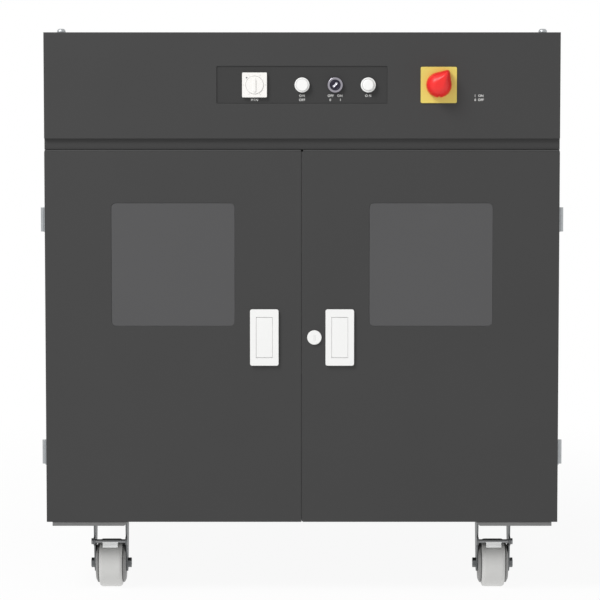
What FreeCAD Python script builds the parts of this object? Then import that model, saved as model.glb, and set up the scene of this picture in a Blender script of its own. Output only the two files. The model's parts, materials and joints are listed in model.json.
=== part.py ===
"""A floor-standing resin printer in a two-door steel cabinet on casters.

Millimetres, +Z up, the front faces -Y. The origin is on the floor, under the middle of the whole outline.
"""
import FreeCAD
import Part
import math
import os

V = FreeCAD.Vector
X = V(1, 0, 0)
Y = V(0, 1, 0)
Z = V(0, 0, 1)

# Clearances.
fit_gap = 0.3
run_gap = 0.05
hole_gap = 0.5

# Cabinet as a whole.
body_width = 1000.0
body_depth = 1000.0
body_height = 955.0
sheet = 1.5

# Welded frame of square tube.
tube = 40.0
tube_wall = 2.0

# Roof bolts.
roof_bolt_head = 8.5
roof_bolt_dome = 9.0
roof_bolt_round = 5.4
roof_bolt_shank = 4.0
roof_bolt_grip = 14.0
roof_bolt_inset = 160.0

# Front: fascia, the rail under it, and the doors.
fascia_height = 205.0
rail_height = 21.5
rail_setback = 7.0
door_top_gap = 3.5
door_middle_gap = 3.0
door_depth = 22.0
door_flange = 26.0
door_frame_gap = 4.0
panel_gap = 1.0
seal_width = 10.0
seal_inset = 7.0
pan_lip = 12.0

# Windows.
window_height = 240.0
window_corner = 9.0
window_from_handle = 29.5
window_from_top = 220.0
window_flange = 15.0
window_thick = 4.0

# Flush handles.
handle_width = 55.5
handle_length = 110.0
handle_thick = 5.0
handle_corner = 4.0
handle_from_lock = 7.75
handle_rise = 0.5
dish_width = 32.0
dish_length = 80.0
dish_depth = 17.0
dish_wall = 2.0
paddle_thick = 4.0
paddle_pin = 1.5
paddle_pin_reach = 3.0
paddle_pin_inset = 6.0

# Door lock.
lock_from_edge = 22.5
lock_face = 14.0
lock_face_thick = 4.0
lock_shank = 9.0
lock_cam_length = 45.0
lock_cam_width = 16.0
lock_cam_thick = 2.0
key_slot_length = 11.0
key_slot_width = 2.0
key_slot_depth = 2.0

# Hinges.
hinge_from_bottom = 136.0
hinge_from_top = 133.0
hinge_length = 47.0
hinge_barrel = 4.5
hinge_pin = 2.5
hinge_leaf = 2.0
hinge_leaf_width = 14.0

# Control strip.
control_rise = 1.0
strip_margin = 23.0
strip_height = 73.0
strip_corner = 3.0
strip_lap = 12.0
control_plate_thick = 2.0
timer_pitch = 92.0
switch_pitch = 64.0

# Panel timer.
timer_bezel = 48.0
timer_bezel_thick = 5.5
timer_corner = 2.0
timer_body = 44.8
timer_body_depth = 62.0
dial_radius = 17.0
dial_thick = 3.0
dial_recess = 2.2
dial_grip_length = 26.0
dial_grip_width = 5.0
dial_grip_height = 1.6
dial_spindle = 3.0
dial_spindle_length = 12.0

# Round panel switches.
button_bezel = 14.5
button_bezel_thick = 8.0
button_bezel_edge = 1.6
button_neck = 11.0
button_neck_length = 24.0
button_block = 27.0
button_block_depth = 24.0
button_rim = 3.0
button_cap_proud = 1.5
button_floor = 1.5
button_travel = 3.0
button_stem = 3.0
button_stem_length = 14.0
lens_proud = 3.5
key_ring = 15.0
key_ring_thick = 7.0
key_barrel_radius = 8.0
key_barrel_length = 20.0
key_angle = 45.0

# Rotary isolator.
isolator_from_strip = 99.0
isolator_plate_size = 70.0
isolator_plate_thick = 2.0
isolator_plate_corner = 3.0
isolator_skirt = 24.5
isolator_skirt_thick = 6.0
isolator_point = 9.5
isolator_tip_round = 5.0
isolator_flank = 10.5
isolator_tip_flank = 4.0
isolator_grip_height = 26.0
isolator_shaft = 4.0
isolator_shaft_length = 30.0
isolator_body_size = 62.0
isolator_body_depth = 56.0
isolator_angle = 34.0
isolator_notch = 2.5

# Caster brackets under the frame.
bracket_height = 12.0
bracket_sheet = 4.0
bracket_bend = 6.0
bracket_width = 153.0
bracket_side_inset = 9.0
bracket_depth = 150.0
bracket_slant = 12.0

# Casters.
caster_side_inset = 120.0
caster_crown = 46.0
caster_plate_width = 80.0
caster_plate_depth = 90.0
caster_plate_thick = 4.0
wheel_radius = 47.5
wheel_width = 46.0
wheel_edge = 7.0
wheel_rim = 10.0
wheel_web = 18.0
wheel_hub = 15.0
wheel_hub_proud = 2.0
axle_radius = 6.0
axle_head_across = 17.0
axle_head_thick = 7.0
axle_sleeve = 9.0
axle_sleeve_length = 5.0
fork_leg = 3.0
fork_leg_top = 74.0
fork_leg_end = 17.0

# Front brake pedals. The pivot lies beyond the tread, forward of straight up by an angle.
brake_tread_gap = 12.9
brake_pivot_angle = 36.6
brake_ear = 8.5
brake_rod = 4.0
brake_cap = 6.0
brake_cap_thick = 4.0
brake_pedal_width = 30.0
brake_pedal_length = 13.0
brake_pedal_thick = 3.0
brake_pedal_drop = 68.0
brake_throw = 20.0
brake_shoe_width = 20.0
brake_shoe_thick = 5.0

# Rear swivel casters.
swivel_trail = 35.0
swivel_race = 28.0
swivel_race_thick = 5.0
swivel_crown_thick = 5.0
swivel_pin = 8.0
swivel_nut = 13.0
swivel_nut_thick = 7.0
swivel_leg_front = 26.0
swivel_leg_back = 40.0

# Deck, light box, screen and vat.
deck_from_sides = 98.5
deck_from_front = 160.0
deck_from_back = 170.0
deck_height = 285.0
deck_thick = 10.0
light_box_inset = 10.0
light_box_wall = 2.0
lamp_board_side = 58.0
lamp_board_end = 36.0
lamp_board_thick = 8.0
lamp_fin_height = 40.0
lamp_fin_thick = 5.0
lamp_fin_count = 9
screen_side = 37.0
screen_end = 34.0
screen_thick = 4.0
screen_ledge = 8.0
vat_side = 5.0
vat_front = 30.0
vat_height = 70.0
vat_wall = 14.0
vat_film = 1.0
vat_corner = 22.0
vat_grip_width = 140.0
vat_grip_reach = 24.0
vat_grip_thick = 8.0

# Vertical drive and build platform.
column_from_vat = 60.0
column_from_deck_edge = 30.0
column_from_ceiling = 23.5
column_width = 220.0
column_wall = 20.0
column_back = 14.0
rail_size = 15.0
rail_end_gap = 10.0
block_width = 34.0
block_height = 40.0
block_clear = 3.0
block_thick = 23.0
carriage_width = 250.0
carriage_height = 100.0
carriage_from_top = 17.0
carriage_thick = 12.0
screw_radius = 8.0
screw_journal = 6.0
screw_from_column = 28.0
nut_size = 36.0
nut_clear = 10.0
nut_height = 44.0
bearing_thick = 20.0
motor_size = 60.0
motor_height = 80.0
motor_corner = 5.0
motor_socket = 20.0
platform_side = 36.0
platform_end = 33.5
platform_thick = 12.0
platform_slope = 61.0
platform_neck_width = 150.0
platform_neck_depth = 120.0
arm_width = 120.0
arm_height = 40.0
arm_wall = 6.0
gusset_reach = 150.0

# Electronics bay, fan and power inlet.
supply_size = (215.0, 115.0, 50.0)
supply_place = (-300.0, 330.0)
controller_size = (260.0, 170.0, 60.0)
controller_place = (60.0, 310.0)
enclosure_corner = 3.0
cooling_slot_count = 7
cooling_slot_width = 5.0
fan_from_post = 198.5
fan_from_header = 128.5
fan_size = 120.0
fan_depth = 38.0
fan_rim = 3.0
fan_hub = 21.0
fan_hub_depth = 22.0
fan_tip_gap = 1.5
fan_blade_count = 7
fan_blade_thick = 2.0
fan_blade_chord = 20.0
fan_blade_pitch = 38.0
fan_pin = 3.0
fan_strut = 8.0
fan_strut_thick = 5.0
vent_slot_width = 6.0
vent_slot_pitch = 13.0
side_vent_length = 90.0
side_vent_rows = 8
side_vent_from_back = 130.0
side_vent_height = 130.0
gland_from_post = 98.5
gland_height = 110.0
gland_hex = 34.0
gland_hex_thick = 8.0
gland_cap = 15.0
gland_cap_length = 16.0
gland_cap_round = 6.0
gland_bore = 7.0
gland_neck = 12.5
gland_neck_length = 14.0

# Planes that the pieces share.
half = body_width / 2
frame_half = half - sheet
caster_plate_top = 2 * wheel_radius + caster_crown
body_bottom = caster_plate_top + bracket_sheet
body_top = body_bottom + body_height
roof_under = body_top - sheet
front_proud = isolator_plate_thick + isolator_skirt_thick + isolator_grip_height
rear_proud = gland_hex_thick + gland_cap_length
front = front_proud - (front_proud + body_depth + rear_proud) / 2
back = front + body_depth
door_back = front + door_depth
frame_front = door_back + door_frame_gap
frame_back = back - sheet
side_start = door_back + panel_gap
fascia_bottom = body_top - fascia_height
rail_bottom = fascia_bottom - rail_height
door_top = rail_bottom - door_top_gap
door_edge = door_middle_gap / 2
control_z = (fascia_bottom + body_top) / 2 + control_rise
control_face = front + sheet
start_x = 0.0
key_x = start_x + switch_pitch
lamp_x = key_x + switch_pitch
timer_x = start_x - timer_pitch
strip_half = lamp_x + button_bezel + strip_margin
isolator_x = strip_half + isolator_from_strip
isolator_tip = isolator_skirt + isolator_point
button_cap = button_bezel - button_rim
button_recess = button_bezel_thick - button_floor
lock_x = door_edge + lock_from_edge
handle_x = lock_x + lock_face + handle_from_lock + handle_width / 2
handle_z = (body_bottom + door_top) / 2 + handle_rise
window_inner = handle_x + handle_width / 2 + window_from_handle
handle_face = front - handle_thick
hinge_x = half + hinge_barrel + fit_gap
hinge_y = door_back + panel_gap / 2
left_post = (-frame_half, tube - frame_half)
right_post = (frame_half - tube, frame_half)
front_tube = (frame_front, frame_front + tube)
rear_tube = (frame_back - tube, frame_back)
base_tube = (body_bottom, body_bottom + tube)
top_tube = (roof_under - tube, roof_under)
header_tube = (rail_bottom - tube, rail_bottom)
floor_top = base_tube[1] + sheet
ceiling_top = header_tube[1] + sheet
caster_x = half - caster_side_inset
caster_plate_under = caster_plate_top - caster_plate_thick
wheel_hub_width = wheel_width + 2 * wheel_hub_proud
fork_inner = wheel_hub_width + 2 * axle_sleeve_length
front_caster_y = frame_front + bracket_depth / 2
rear_caster_y = frame_back - bracket_depth / 2
deck_top = body_bottom + deck_height
deck_under = deck_top - deck_thick
deck_width = 2 * (frame_half - deck_from_sides)
deck_y = (front + deck_from_front, back - deck_from_back)
column_depth = screw_from_column + nut_size / 2 + nut_clear + column_back
column_y = deck_y[1] - column_from_deck_edge - column_depth
column_top = header_tube[1] - column_from_ceiling
screw_y = column_y + screw_from_column
vat_width = deck_width - 2 * vat_side
vat_ends = (deck_y[0] + vat_front, column_y - column_from_vat)
vat_y = (vat_ends[0] + vat_ends[1]) / 2
vat_depth = vat_ends[1] - vat_ends[0]
screen_width = vat_width - 2 * screen_side
screen_depth = vat_depth - 2 * screen_end
platform_width = vat_width - 2 * vat_wall - 2 * platform_side
platform_depth = vat_depth - 2 * vat_wall - 2 * platform_end
carriage_bottom = column_top - carriage_from_top - carriage_height
carriage_face = column_y - block_clear - block_thick
platform_top = carriage_bottom
platform_under = platform_top - platform_slope - platform_thick
fan_x = right_post[0] - fan_from_post
fan_z = header_tube[0] - fan_from_header
fan_bore = fan_size / 2 - fan_rim
gland_x = left_post[1] + gland_from_post
gland_z = body_bottom + gland_height


def box(x, y, z):
    """A block that fills three (low, high) ranges."""
    return Part.makeBox(x[1] - x[0], y[1] - y[0], z[1] - z[0], V(x[0], y[0], z[0]))


def about(centre, size):
    """The range of a given size around a centre."""
    return centre - size / 2, centre + size / 2


def round_along(shape, radius, along):
    """Round the edges that run along one direction."""
    edges = [e for e in shape.Edges if abs(e.tangentAt(e.FirstParameter).dot(along)) > 0.999]
    return shape.makeFillet(radius, edges)


def round_at(shape, radius, along, level):
    """Round the edges that lie wholly in the plane at one level of an axis."""
    edges = [e for e in shape.Edges if all(abs(v.Point.dot(along) - level) < 1e-6 for v in e.Vertexes)]
    return shape.makeFillet(radius, edges)


def round_line(shape, radius, planes):
    """Round the edges that lie in every one of some planes, each given as an axis and a level."""
    edges = []
    for edge in shape.Edges:
        if all(abs(v.Point.dot(axis) - level) < 1e-6 for v in edge.Vertexes for axis, level in planes):
            edges.append(edge)
    return shape.makeFillet(radius, edges)


def polygon(points, sweep):
    """A flat outline of points, swept into a solid."""
    return Part.Face(Part.makePolygon(points + points[:1])).extrude(sweep)


def hexagon(across, centre, sweep, first):
    """A hexagonal prism, given across its flats, with a corner towards first."""
    corner = across / math.sqrt(3)
    other = sweep.cross(first).normalize()
    turns = [math.radians(60 * i) for i in range(6)]
    return polygon([centre + first * (corner * math.cos(t)) + other * (corner * math.sin(t)) for t in turns], sweep)


def slot(length, width, centre, along, through):
    """A slot with round ends that runs through by a vector, starting at its centre."""
    side = through.cross(along).normalize() * (width / 2)
    end = along * (width / 2)
    low = centre - along * ((length - width) / 2)
    high = centre + along * ((length - width) / 2)
    edges = [
        Part.LineSegment(low + side, high + side),
        Part.Arc(high + side, high + end, high - side),
        Part.LineSegment(high - side, low - side),
        Part.Arc(low - side, low - end, low + side),
    ]
    return Part.Face(Part.Wire([e.toShape() for e in edges])).extrude(through)


def fuse(shapes):
    """Join solids that make one piece."""
    return shapes[0].multiFuse(shapes[1:]).removeSplitter()


def mirrored(shape):
    """The same piece on the other side of the cabinet."""
    return shape.mirror(V(0, 0, 0), X)


def save(name, *solids):
    """Write the solids of one node."""
    shape = solids[0] if len(solids) == 1 else Part.makeCompound(list(solids))
    shape.exportStep(f"parts/{name}.step")
    print(name, len(shape.Solids), all(s.isValid() for s in shape.Solids))


def hollow_tube(x, y, z, along):
    """A square tube that fills three ranges, open at both ends along one of them."""
    inside = [r if i == along else (r[0] + tube_wall, r[1] - tube_wall) for i, r in enumerate((x, y, z))]
    return box(x, y, z).cut(box(*inside))


def roof_bolt_places():
    """Where the domed bolts go through the roof into the side rails."""
    x = frame_half - tube / 2
    return [V(sx * x, y, roof_under) for sx in (-1, 1) for y in (front + roof_bolt_inset, back - roof_bolt_inset)]


def make_frame():
    across = (-frame_half, frame_half)
    between_posts = (left_post[1], right_post[0])
    between_rails = (front_tube[1], rear_tube[0])
    tubes = []
    for y in (front_tube, rear_tube):
        tubes.append(hollow_tube(across, y, base_tube, 0))
        tubes.append(hollow_tube(across, y, top_tube, 0))
        tubes.append(hollow_tube(between_posts, y, header_tube, 0))
    for x in (left_post, right_post):
        tubes.append(hollow_tube(x, between_rails, base_tube, 1))
        rail = hollow_tube(x, between_rails, top_tube, 1)
        for place in roof_bolt_places():
            rail = rail.cut(Part.makeCylinder(roof_bolt_shank + hole_gap, 2 * tube_wall, place - Z * (2 * tube_wall)))
        tubes.append(rail)
        for y in (front_tube, rear_tube):
            tubes.append(hollow_tube(x, y, (base_tube[1], top_tube[0]), 2))
    save("frame_tubes", *tubes)


def notched_sheet(bottom):
    """A sheet that covers the frame's plan, cut out around its four posts."""
    height = (bottom, bottom + sheet)
    plan = box((-frame_half, frame_half), (frame_front, frame_back), height)
    notch = tube + fit_gap
    for x in ((-frame_half, notch - frame_half), (frame_half - notch, frame_half)):
        for y in ((frame_front, frame_front + notch), (frame_back - notch, frame_back)):
            plan = plan.cut(box(x, y, height))
    return plan


def make_sheets():
    lip_x = frame_half - tube - fit_gap
    lip_y = (front_tube[1] + fit_gap, rear_tube[0] - fit_gap)
    lip_z = (base_tube[1], floor_top + pan_lip)
    lip = box((-lip_x, lip_x), lip_y, lip_z)
    inner_y = (lip_y[0] + sheet, lip_y[1] - sheet)
    lip = lip.cut(box((sheet - lip_x, lip_x - sheet), inner_y, lip_z))
    save("floor_pan", fuse([notched_sheet(base_tube[1]), lip]))
    save("chamber_ceiling", notched_sheet(header_tube[1]))

    roof = box((-half, half), (front, back), (roof_under, body_top))
    for place in roof_bolt_places():
        roof = roof.cut(Part.makeCylinder(roof_bolt_shank + hole_gap, sheet, place))
    save("roof_panel", roof)
    save("roof_bolts", *[roof_bolt(place + Z * sheet) for place in roof_bolt_places()])

    side = box((frame_half, half), (side_start, back), (body_bottom, roof_under))
    for row in range(side_vent_rows):
        z = body_bottom + side_vent_height + row * vent_slot_pitch
        centre = V(frame_half, back - side_vent_from_back, z)
        side = side.cut(slot(side_vent_length, vent_slot_width, centre, Y, X * sheet))
    save("right_side_panel", side)
    save("left_side_panel", mirrored(side))


def roof_bolt(seat):
    dome = Part.makeCylinder(roof_bolt_head, roof_bolt_dome, seat)
    dome = round_at(dome, roof_bolt_round, Z, seat.z + roof_bolt_dome)
    return fuse([dome, Part.makeCylinder(roof_bolt_shank, roof_bolt_grip, seat - Z * roof_bolt_grip)])


def make_back_panel():
    panel = box((-frame_half, frame_half), (frame_back, back), (body_bottom, roof_under))
    rows = int(fan_bore // vent_slot_pitch)
    for row in range(-rows, rows + 1):
        rise = row * vent_slot_pitch
        reach = 2 * math.sqrt(fan_bore ** 2 - rise ** 2)
        if reach > 2 * vent_slot_width:
            centre = V(fan_x, frame_back, fan_z + rise)
            panel = panel.cut(slot(reach, vent_slot_width, centre, X, Y * sheet))
    centre = V(gland_x, frame_back, gland_z)
    save("back_panel", panel.cut(Part.makeCylinder(gland_neck + hole_gap, sheet, centre, Y)))


def make_fascia():
    fold = [
        (frame_front, roof_under),
        (front, roof_under),
        (front, fascia_bottom),
        (front + rail_setback, fascia_bottom),
        (front + rail_setback, rail_bottom),
        (frame_front, rail_bottom),
        (frame_front, rail_bottom + sheet),
        (front + rail_setback + sheet, rail_bottom + sheet),
        (front + rail_setback + sheet, fascia_bottom + sheet),
        (front + sheet, fascia_bottom + sheet),
        (front + sheet, roof_under - sheet),
        (frame_front, roof_under - sheet),
    ]
    skin = polygon([V(-half, y, z) for y, z in fold], X * body_width)
    end = [V(frame_half, y, z) for y, z in fold[:6]]
    cap = polygon(end, X * sheet)
    skin = fuse([skin, cap, mirrored(cap)])
    for x in ((-half, -frame_half), (frame_half, half)):
        skin = skin.cut(box(x, (door_back, frame_front), (rail_bottom, roof_under)))
    opening = box((-strip_half, strip_half), (front, control_face), about(control_z, strip_height))
    skin = skin.cut(round_along(opening, strip_corner, Y))
    shaft_hole = Part.makeCylinder(isolator_shaft + hole_gap, sheet, V(isolator_x, front, control_z), Y)
    save("front_fascia", skin.cut(shaft_hole))


def make_control_plate():
    reach = strip_half + strip_lap
    depth = (control_face, control_face + control_plate_thick)
    plate = box((-reach, reach), depth, about(control_z, strip_height + 2 * strip_lap))
    timer_hole = timer_body + 2 * fit_gap
    plate = plate.cut(box(about(timer_x, timer_hole), depth, about(control_z, timer_hole)))
    for x in (start_x, key_x, lamp_x):
        centre = V(x, control_face, control_z)
        plate = plate.cut(Part.makeCylinder(button_neck + fit_gap, control_plate_thick, centre, Y))
    save("control_plate", plate)


def make_timer():
    face = control_face - timer_bezel_thick
    centre = V(timer_x, face, control_z)
    bezel = box(about(timer_x, timer_bezel), (face, control_face), about(control_z, timer_bezel))
    bezel = round_along(bezel, timer_corner, Y)
    depth = (control_face, control_face + timer_body_depth)
    body = box(about(timer_x, timer_body), depth, about(control_z, timer_body))
    housing = fuse([bezel, body])
    housing = housing.cut(Part.makeCylinder(dial_radius + fit_gap, dial_recess, centre, Y))
    bore_depth = dial_recess + dial_spindle_length
    save("timer_housing", housing.cut(Part.makeCylinder(dial_spindle + run_gap, bore_depth, centre, Y)))

    dial_back = face + dial_recess - fit_gap
    dial_front = dial_back - dial_thick
    disc = Part.makeCylinder(dial_radius, dial_thick, V(timer_x, dial_front, control_z), Y)
    grip = slot(dial_grip_length, dial_grip_width, V(timer_x, dial_front, control_z), Z, Y * -dial_grip_height)
    spindle = Part.makeCylinder(dial_spindle, dial_spindle_length, V(timer_x, dial_back, control_z), Y)
    save("timer_dial", fuse([disc, grip, spindle]))


def switch_body(x, ring, ring_thick):
    """A round panel switch: a ring in front of the plate, its neck through it and the block behind."""
    seat = V(x, control_face, control_z)
    bezel = Part.makeCylinder(ring, ring_thick, seat - Y * ring_thick, Y)
    bezel = round_at(bezel, button_bezel_edge, Y, control_face - ring_thick)
    neck = Part.makeCylinder(button_neck, button_neck_length, seat, Y)
    depth = (control_face + button_neck_length, control_face + button_neck_length + button_block_depth)
    block = box(about(x, button_block), depth, about(control_z, button_block))
    return fuse([bezel, neck, block])


def make_buttons():
    bodies = []
    face = control_face - button_bezel_thick
    floor = face + button_recess
    for x in (start_x, lamp_x):
        body = switch_body(x, button_bezel, button_bezel_thick)
        body = body.cut(Part.makeCylinder(button_cap + fit_gap, button_recess, V(x, face, control_z), Y))
        stem_room = button_stem_length + button_travel
        bore = Part.makeCylinder(button_stem + run_gap, stem_room, V(x, floor, control_z), Y)
        bodies.append(body.cut(bore))
    save("button_bodies", *bodies)

    cap_front = face - button_cap_proud
    cap_back = floor - button_travel - fit_gap
    cap = Part.makeCylinder(button_cap, cap_back - cap_front, V(start_x, cap_front, control_z), Y)
    cap = round_at(cap, button_cap_proud / 2, Y, cap_front)
    stem = Part.makeCylinder(button_stem, button_stem_length, V(start_x, cap_back, control_z), Y)
    save("start_button_cap", fuse([cap, stem]))

    lens_front = face - lens_proud
    lens = Part.makeCylinder(button_cap, floor - lens_front, V(lamp_x, lens_front, control_z), Y)
    lens = round_at(lens, lens_proud, Y, lens_front)
    plug = Part.makeCylinder(button_stem, button_stem_length, V(lamp_x, floor, control_z), Y)
    save("indicator_lens", fuse([lens, plug]))


def make_key_switch():
    face = control_face - key_ring_thick
    centre = V(key_x, face, control_z)
    body = switch_body(key_x, key_ring, key_ring_thick)
    save("key_switch_body", body.cut(Part.makeCylinder(key_barrel_radius + run_gap, key_barrel_length, centre, Y)))
    barrel = Part.makeCylinder(key_barrel_radius, key_barrel_length, centre, Y)
    save("key_barrel", barrel.cut(key_slot(centre, key_angle)))


def key_slot(centre, angle):
    """The keyway cut into the face of a lock, leaning from upright by an angle."""
    lean = math.radians(angle)
    along = V(math.sin(lean), 0, math.cos(lean))
    return slot(key_slot_length, key_slot_width, centre, along, Y * key_slot_depth)


def make_isolator():
    plate_face = front - isolator_plate_thick
    centre = V(isolator_x, plate_face, control_z)
    plate = box(about(isolator_x, isolator_plate_size), (plate_face, front), about(control_z, isolator_plate_size))
    plate = round_along(plate, isolator_plate_corner, Y)
    shaft_hole = Part.makeCylinder(isolator_shaft + hole_gap, isolator_plate_thick, centre, Y)
    save("isolator_plate", plate.cut(shaft_hole))

    depth = (control_face, control_face + isolator_body_depth)
    body = box(about(isolator_x, isolator_body_size), depth, about(control_z, isolator_body_size))
    shaft_reach = isolator_plate_thick + isolator_shaft_length
    bore = Part.makeCylinder(isolator_shaft + run_gap, shaft_reach, centre, Y)
    save("isolator_body", body.cut(bore))

    skirt_back = plate_face - fit_gap
    skirt_face = plate_face - isolator_skirt_thick
    skirt = Part.Face(teardrop(skirt_back, isolator_skirt, isolator_tip, isolator_tip_round))
    skirt = skirt.extrude(Y * (fit_gap - isolator_skirt_thick))
    foot = teardrop(skirt_face, isolator_skirt, isolator_tip, isolator_tip_round)
    facet_skirt = isolator_skirt - isolator_flank
    facet_tip = isolator_tip - isolator_tip_flank
    facet = teardrop(skirt_face - isolator_grip_height, facet_skirt, facet_tip, isolator_tip_round / 2)
    grip = Part.makeLoft([foot, facet], True, True)
    shaft = Part.makeCylinder(isolator_shaft, shaft_reach, V(isolator_x, skirt_back, control_z), Y)
    notch_centre = V(isolator_x, plate_face, control_z - isolator_skirt)
    notch_depth = isolator_skirt_thick + isolator_grip_height
    notch = Part.makeCylinder(isolator_notch, notch_depth, notch_centre, -Y)
    save("isolator_handle", fuse([skirt, grip, shaft]).cut(notch))


def teardrop(y, radius, tip, tip_round):
    """The isolator handle's outline at one depth: a circle drawn out to a rounded tip."""
    lean = math.radians(isolator_angle)
    along = V(math.sin(lean), 0, math.cos(lean))
    side = V(math.cos(lean), 0, -math.sin(lean))
    centre = V(isolator_x, y, control_z)
    end = centre + along * (tip - tip_round)
    swing = math.acos((radius - tip_round) / (tip - tip_round))
    reach = along * math.cos(swing) + side * math.sin(swing)
    other = along * math.cos(swing) - side * math.sin(swing)
    edges = [
        Part.Arc(centre + reach * radius, centre - along * radius, centre + other * radius),
        Part.LineSegment(centre + other * radius, end + other * tip_round),
        Part.Arc(end + other * tip_round, end + along * tip_round, end + reach * tip_round),
        Part.LineSegment(end + reach * tip_round, centre + reach * radius),
    ]
    return Part.Wire([e.toShape() for e in edges])


def make_doors():
    x = (door_edge, half)
    z = (body_bottom, door_top)
    inner = [(r[0] + sheet, r[1] - sheet) for r in (x, (front, door_back), z)]
    open_back = [(r[0] + door_flange, r[1] - door_flange) for r in (x, z)]
    tray = box(x, (front, door_back), z).cut(box(*inner))
    tray = tray.cut(box(open_back[0], (door_back - sheet, door_back), open_back[1]))
    window_x = (x[0] + x[1]) / 2
    window_z = door_top - window_from_top
    window_width = 2 * (window_x - window_inner)
    skin = (front, front + sheet)
    pane_hole = box(about(window_x, window_width), skin, about(window_z, window_height))
    tray = tray.cut(round_along(pane_hole, window_corner, Y))
    dish_hole = [s + 2 * dish_wall + 2 * fit_gap for s in (dish_width, dish_length)]
    tray = tray.cut(box(about(handle_x, dish_hole[0]), skin, about(handle_z, dish_hole[1])))
    save("left_door", mirrored(tray))
    lock_centre = V(lock_x, front, handle_z)
    save("right_door", tray.cut(Part.makeCylinder(lock_shank + run_gap, door_depth, lock_centre, Y)))

    land_size = [s - 2 * fit_gap for s in (window_width, window_height)]
    flange_size = [s + 2 * window_flange for s in (window_width, window_height)]
    land = box(about(window_x, land_size[0]), (front + fit_gap, front + sheet), about(window_z, land_size[1]))
    land = round_along(land, window_corner - fit_gap, Y)
    flange_y = (front + sheet, front + sheet + window_thick)
    flange = box(about(window_x, flange_size[0]), flange_y, about(window_z, flange_size[1]))
    pane = fuse([land, round_along(flange, window_corner, Y)])
    save("right_window", pane)
    save("left_window", mirrored(pane))


def make_handles():
    plate = box(about(handle_x, handle_width), (handle_face, front), about(handle_z, handle_length))
    plate = round_along(plate, handle_corner, Y)
    dish_size = [s + 2 * dish_wall for s in (dish_width, dish_length)]
    dish_floor = front + dish_depth
    dish_y = (front, dish_floor + dish_wall)
    dish = box(about(handle_x, dish_size[0]), dish_y, about(handle_z, dish_size[1]))
    hollow = box(about(handle_x, dish_width), (handle_face, dish_floor), about(handle_z, dish_length))
    pin_y = front - handle_thick / 2
    pin_z = handle_z + dish_length / 2 - paddle_pin_inset
    paddle_width = dish_width - 2 * fit_gap
    pin_length = paddle_width + 2 * paddle_pin_reach
    pin_start = V(handle_x - pin_length / 2, pin_y, pin_z)
    bore = Part.makeCylinder(paddle_pin + run_gap, pin_length + 2 * fit_gap, pin_start - X * fit_gap, X)
    housing = fuse([plate, dish]).cut(hollow).cut(bore)
    save("right_handle_plate", housing)
    save("left_handle_plate", mirrored(housing))

    dish_z = about(handle_z, dish_length)
    paddle_z = (dish_z[0] + 2 * hole_gap, dish_z[1] - 2 * hole_gap)
    paddle = box(about(handle_x, paddle_width), about(pin_y, paddle_thick), paddle_z)
    paddle = round_along(paddle, paddle_thick / 4, X)
    paddle = fuse([paddle, Part.makeCylinder(paddle_pin, pin_length, pin_start, X)])
    save("right_handle_paddle", paddle)
    save("left_handle_paddle", mirrored(paddle))


def make_lock():
    centre = V(lock_x, front - lock_face_thick, handle_z)
    face = Part.makeCylinder(lock_face, lock_face_thick, centre, Y)
    face = round_at(face, lock_face_thick / 3, Y, centre.y)
    cam_start = door_back + hole_gap
    shank = Part.makeCylinder(lock_shank, cam_start - front, V(centre.x, front, centre.z), Y)
    cam_centre = V(centre.x, cam_start, centre.z - (lock_cam_length - lock_cam_width) / 2)
    cam = slot(lock_cam_length, lock_cam_width, cam_centre, Z, Y * lock_cam_thick)
    save("lock_barrel", fuse([face, shank, cam]).cut(key_slot(centre, 0)))


def hinge_knuckle(bottom, length):
    return Part.makeCylinder(hinge_barrel, length, V(hinge_x, hinge_y, bottom))


def make_hinges():
    leaf_x = (half, half + hinge_leaf)
    turn_room = hinge_barrel + 2 * hole_gap
    third = hinge_length / 3
    door_leaf_y = (hinge_y - turn_room - hinge_leaf_width, hinge_y - turn_room)
    frame_leaf_y = (hinge_y + turn_room, hinge_y + turn_room + hinge_leaf_width)
    door_leaves = []
    frame_leaves = []
    for height in (body_bottom + hinge_from_bottom, door_top - hinge_from_top):
        bottom, top = about(height, hinge_length)
        middle = (bottom + third + fit_gap, top - third - fit_gap)
        leaf = box(leaf_x, door_leaf_y, (bottom, top))
        tongue = box(leaf_x, (door_leaf_y[1], hinge_y), middle)
        knuckle = hinge_knuckle(middle[0], middle[1] - middle[0])
        bore = Part.makeCylinder(hinge_pin + run_gap, hinge_length, V(hinge_x, hinge_y, bottom))
        door_leaves.append(fuse([leaf, tongue, knuckle]).cut(bore))
        pieces = [box(leaf_x, frame_leaf_y, (bottom, top))]
        for low in (bottom, top - third):
            pieces.append(box(leaf_x, (hinge_y, frame_leaf_y[0]), (low, low + third)))
            pieces.append(hinge_knuckle(low, third))
        pieces.append(Part.makeCylinder(hinge_pin, hinge_length, V(hinge_x, hinge_y, bottom)))
        frame_leaves.append(fuse(pieces))
    save("right_hinge_leaves", *door_leaves)
    save("left_hinge_leaves", *[mirrored(leaf) for leaf in door_leaves])
    save("hinge_frame_leaves", *frame_leaves, *[mirrored(leaf) for leaf in frame_leaves])


def make_seals():
    """Magnetic strips on the frame, on which the doors' inner flanges close."""
    depth = (frame_front - door_frame_gap + fit_gap, frame_front)
    outer = half - seal_inset
    low = body_bottom + seal_inset
    high = door_top - seal_inset
    upright = box((outer - seal_width, outer), depth, (low, high))
    across = (seal_width - outer, outer - seal_width)
    sill = box(across, depth, (low, low + seal_width))
    head = box(across, depth, (high - seal_width, high))
    save("door_seals", upright, mirrored(upright), sill, head)


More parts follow.
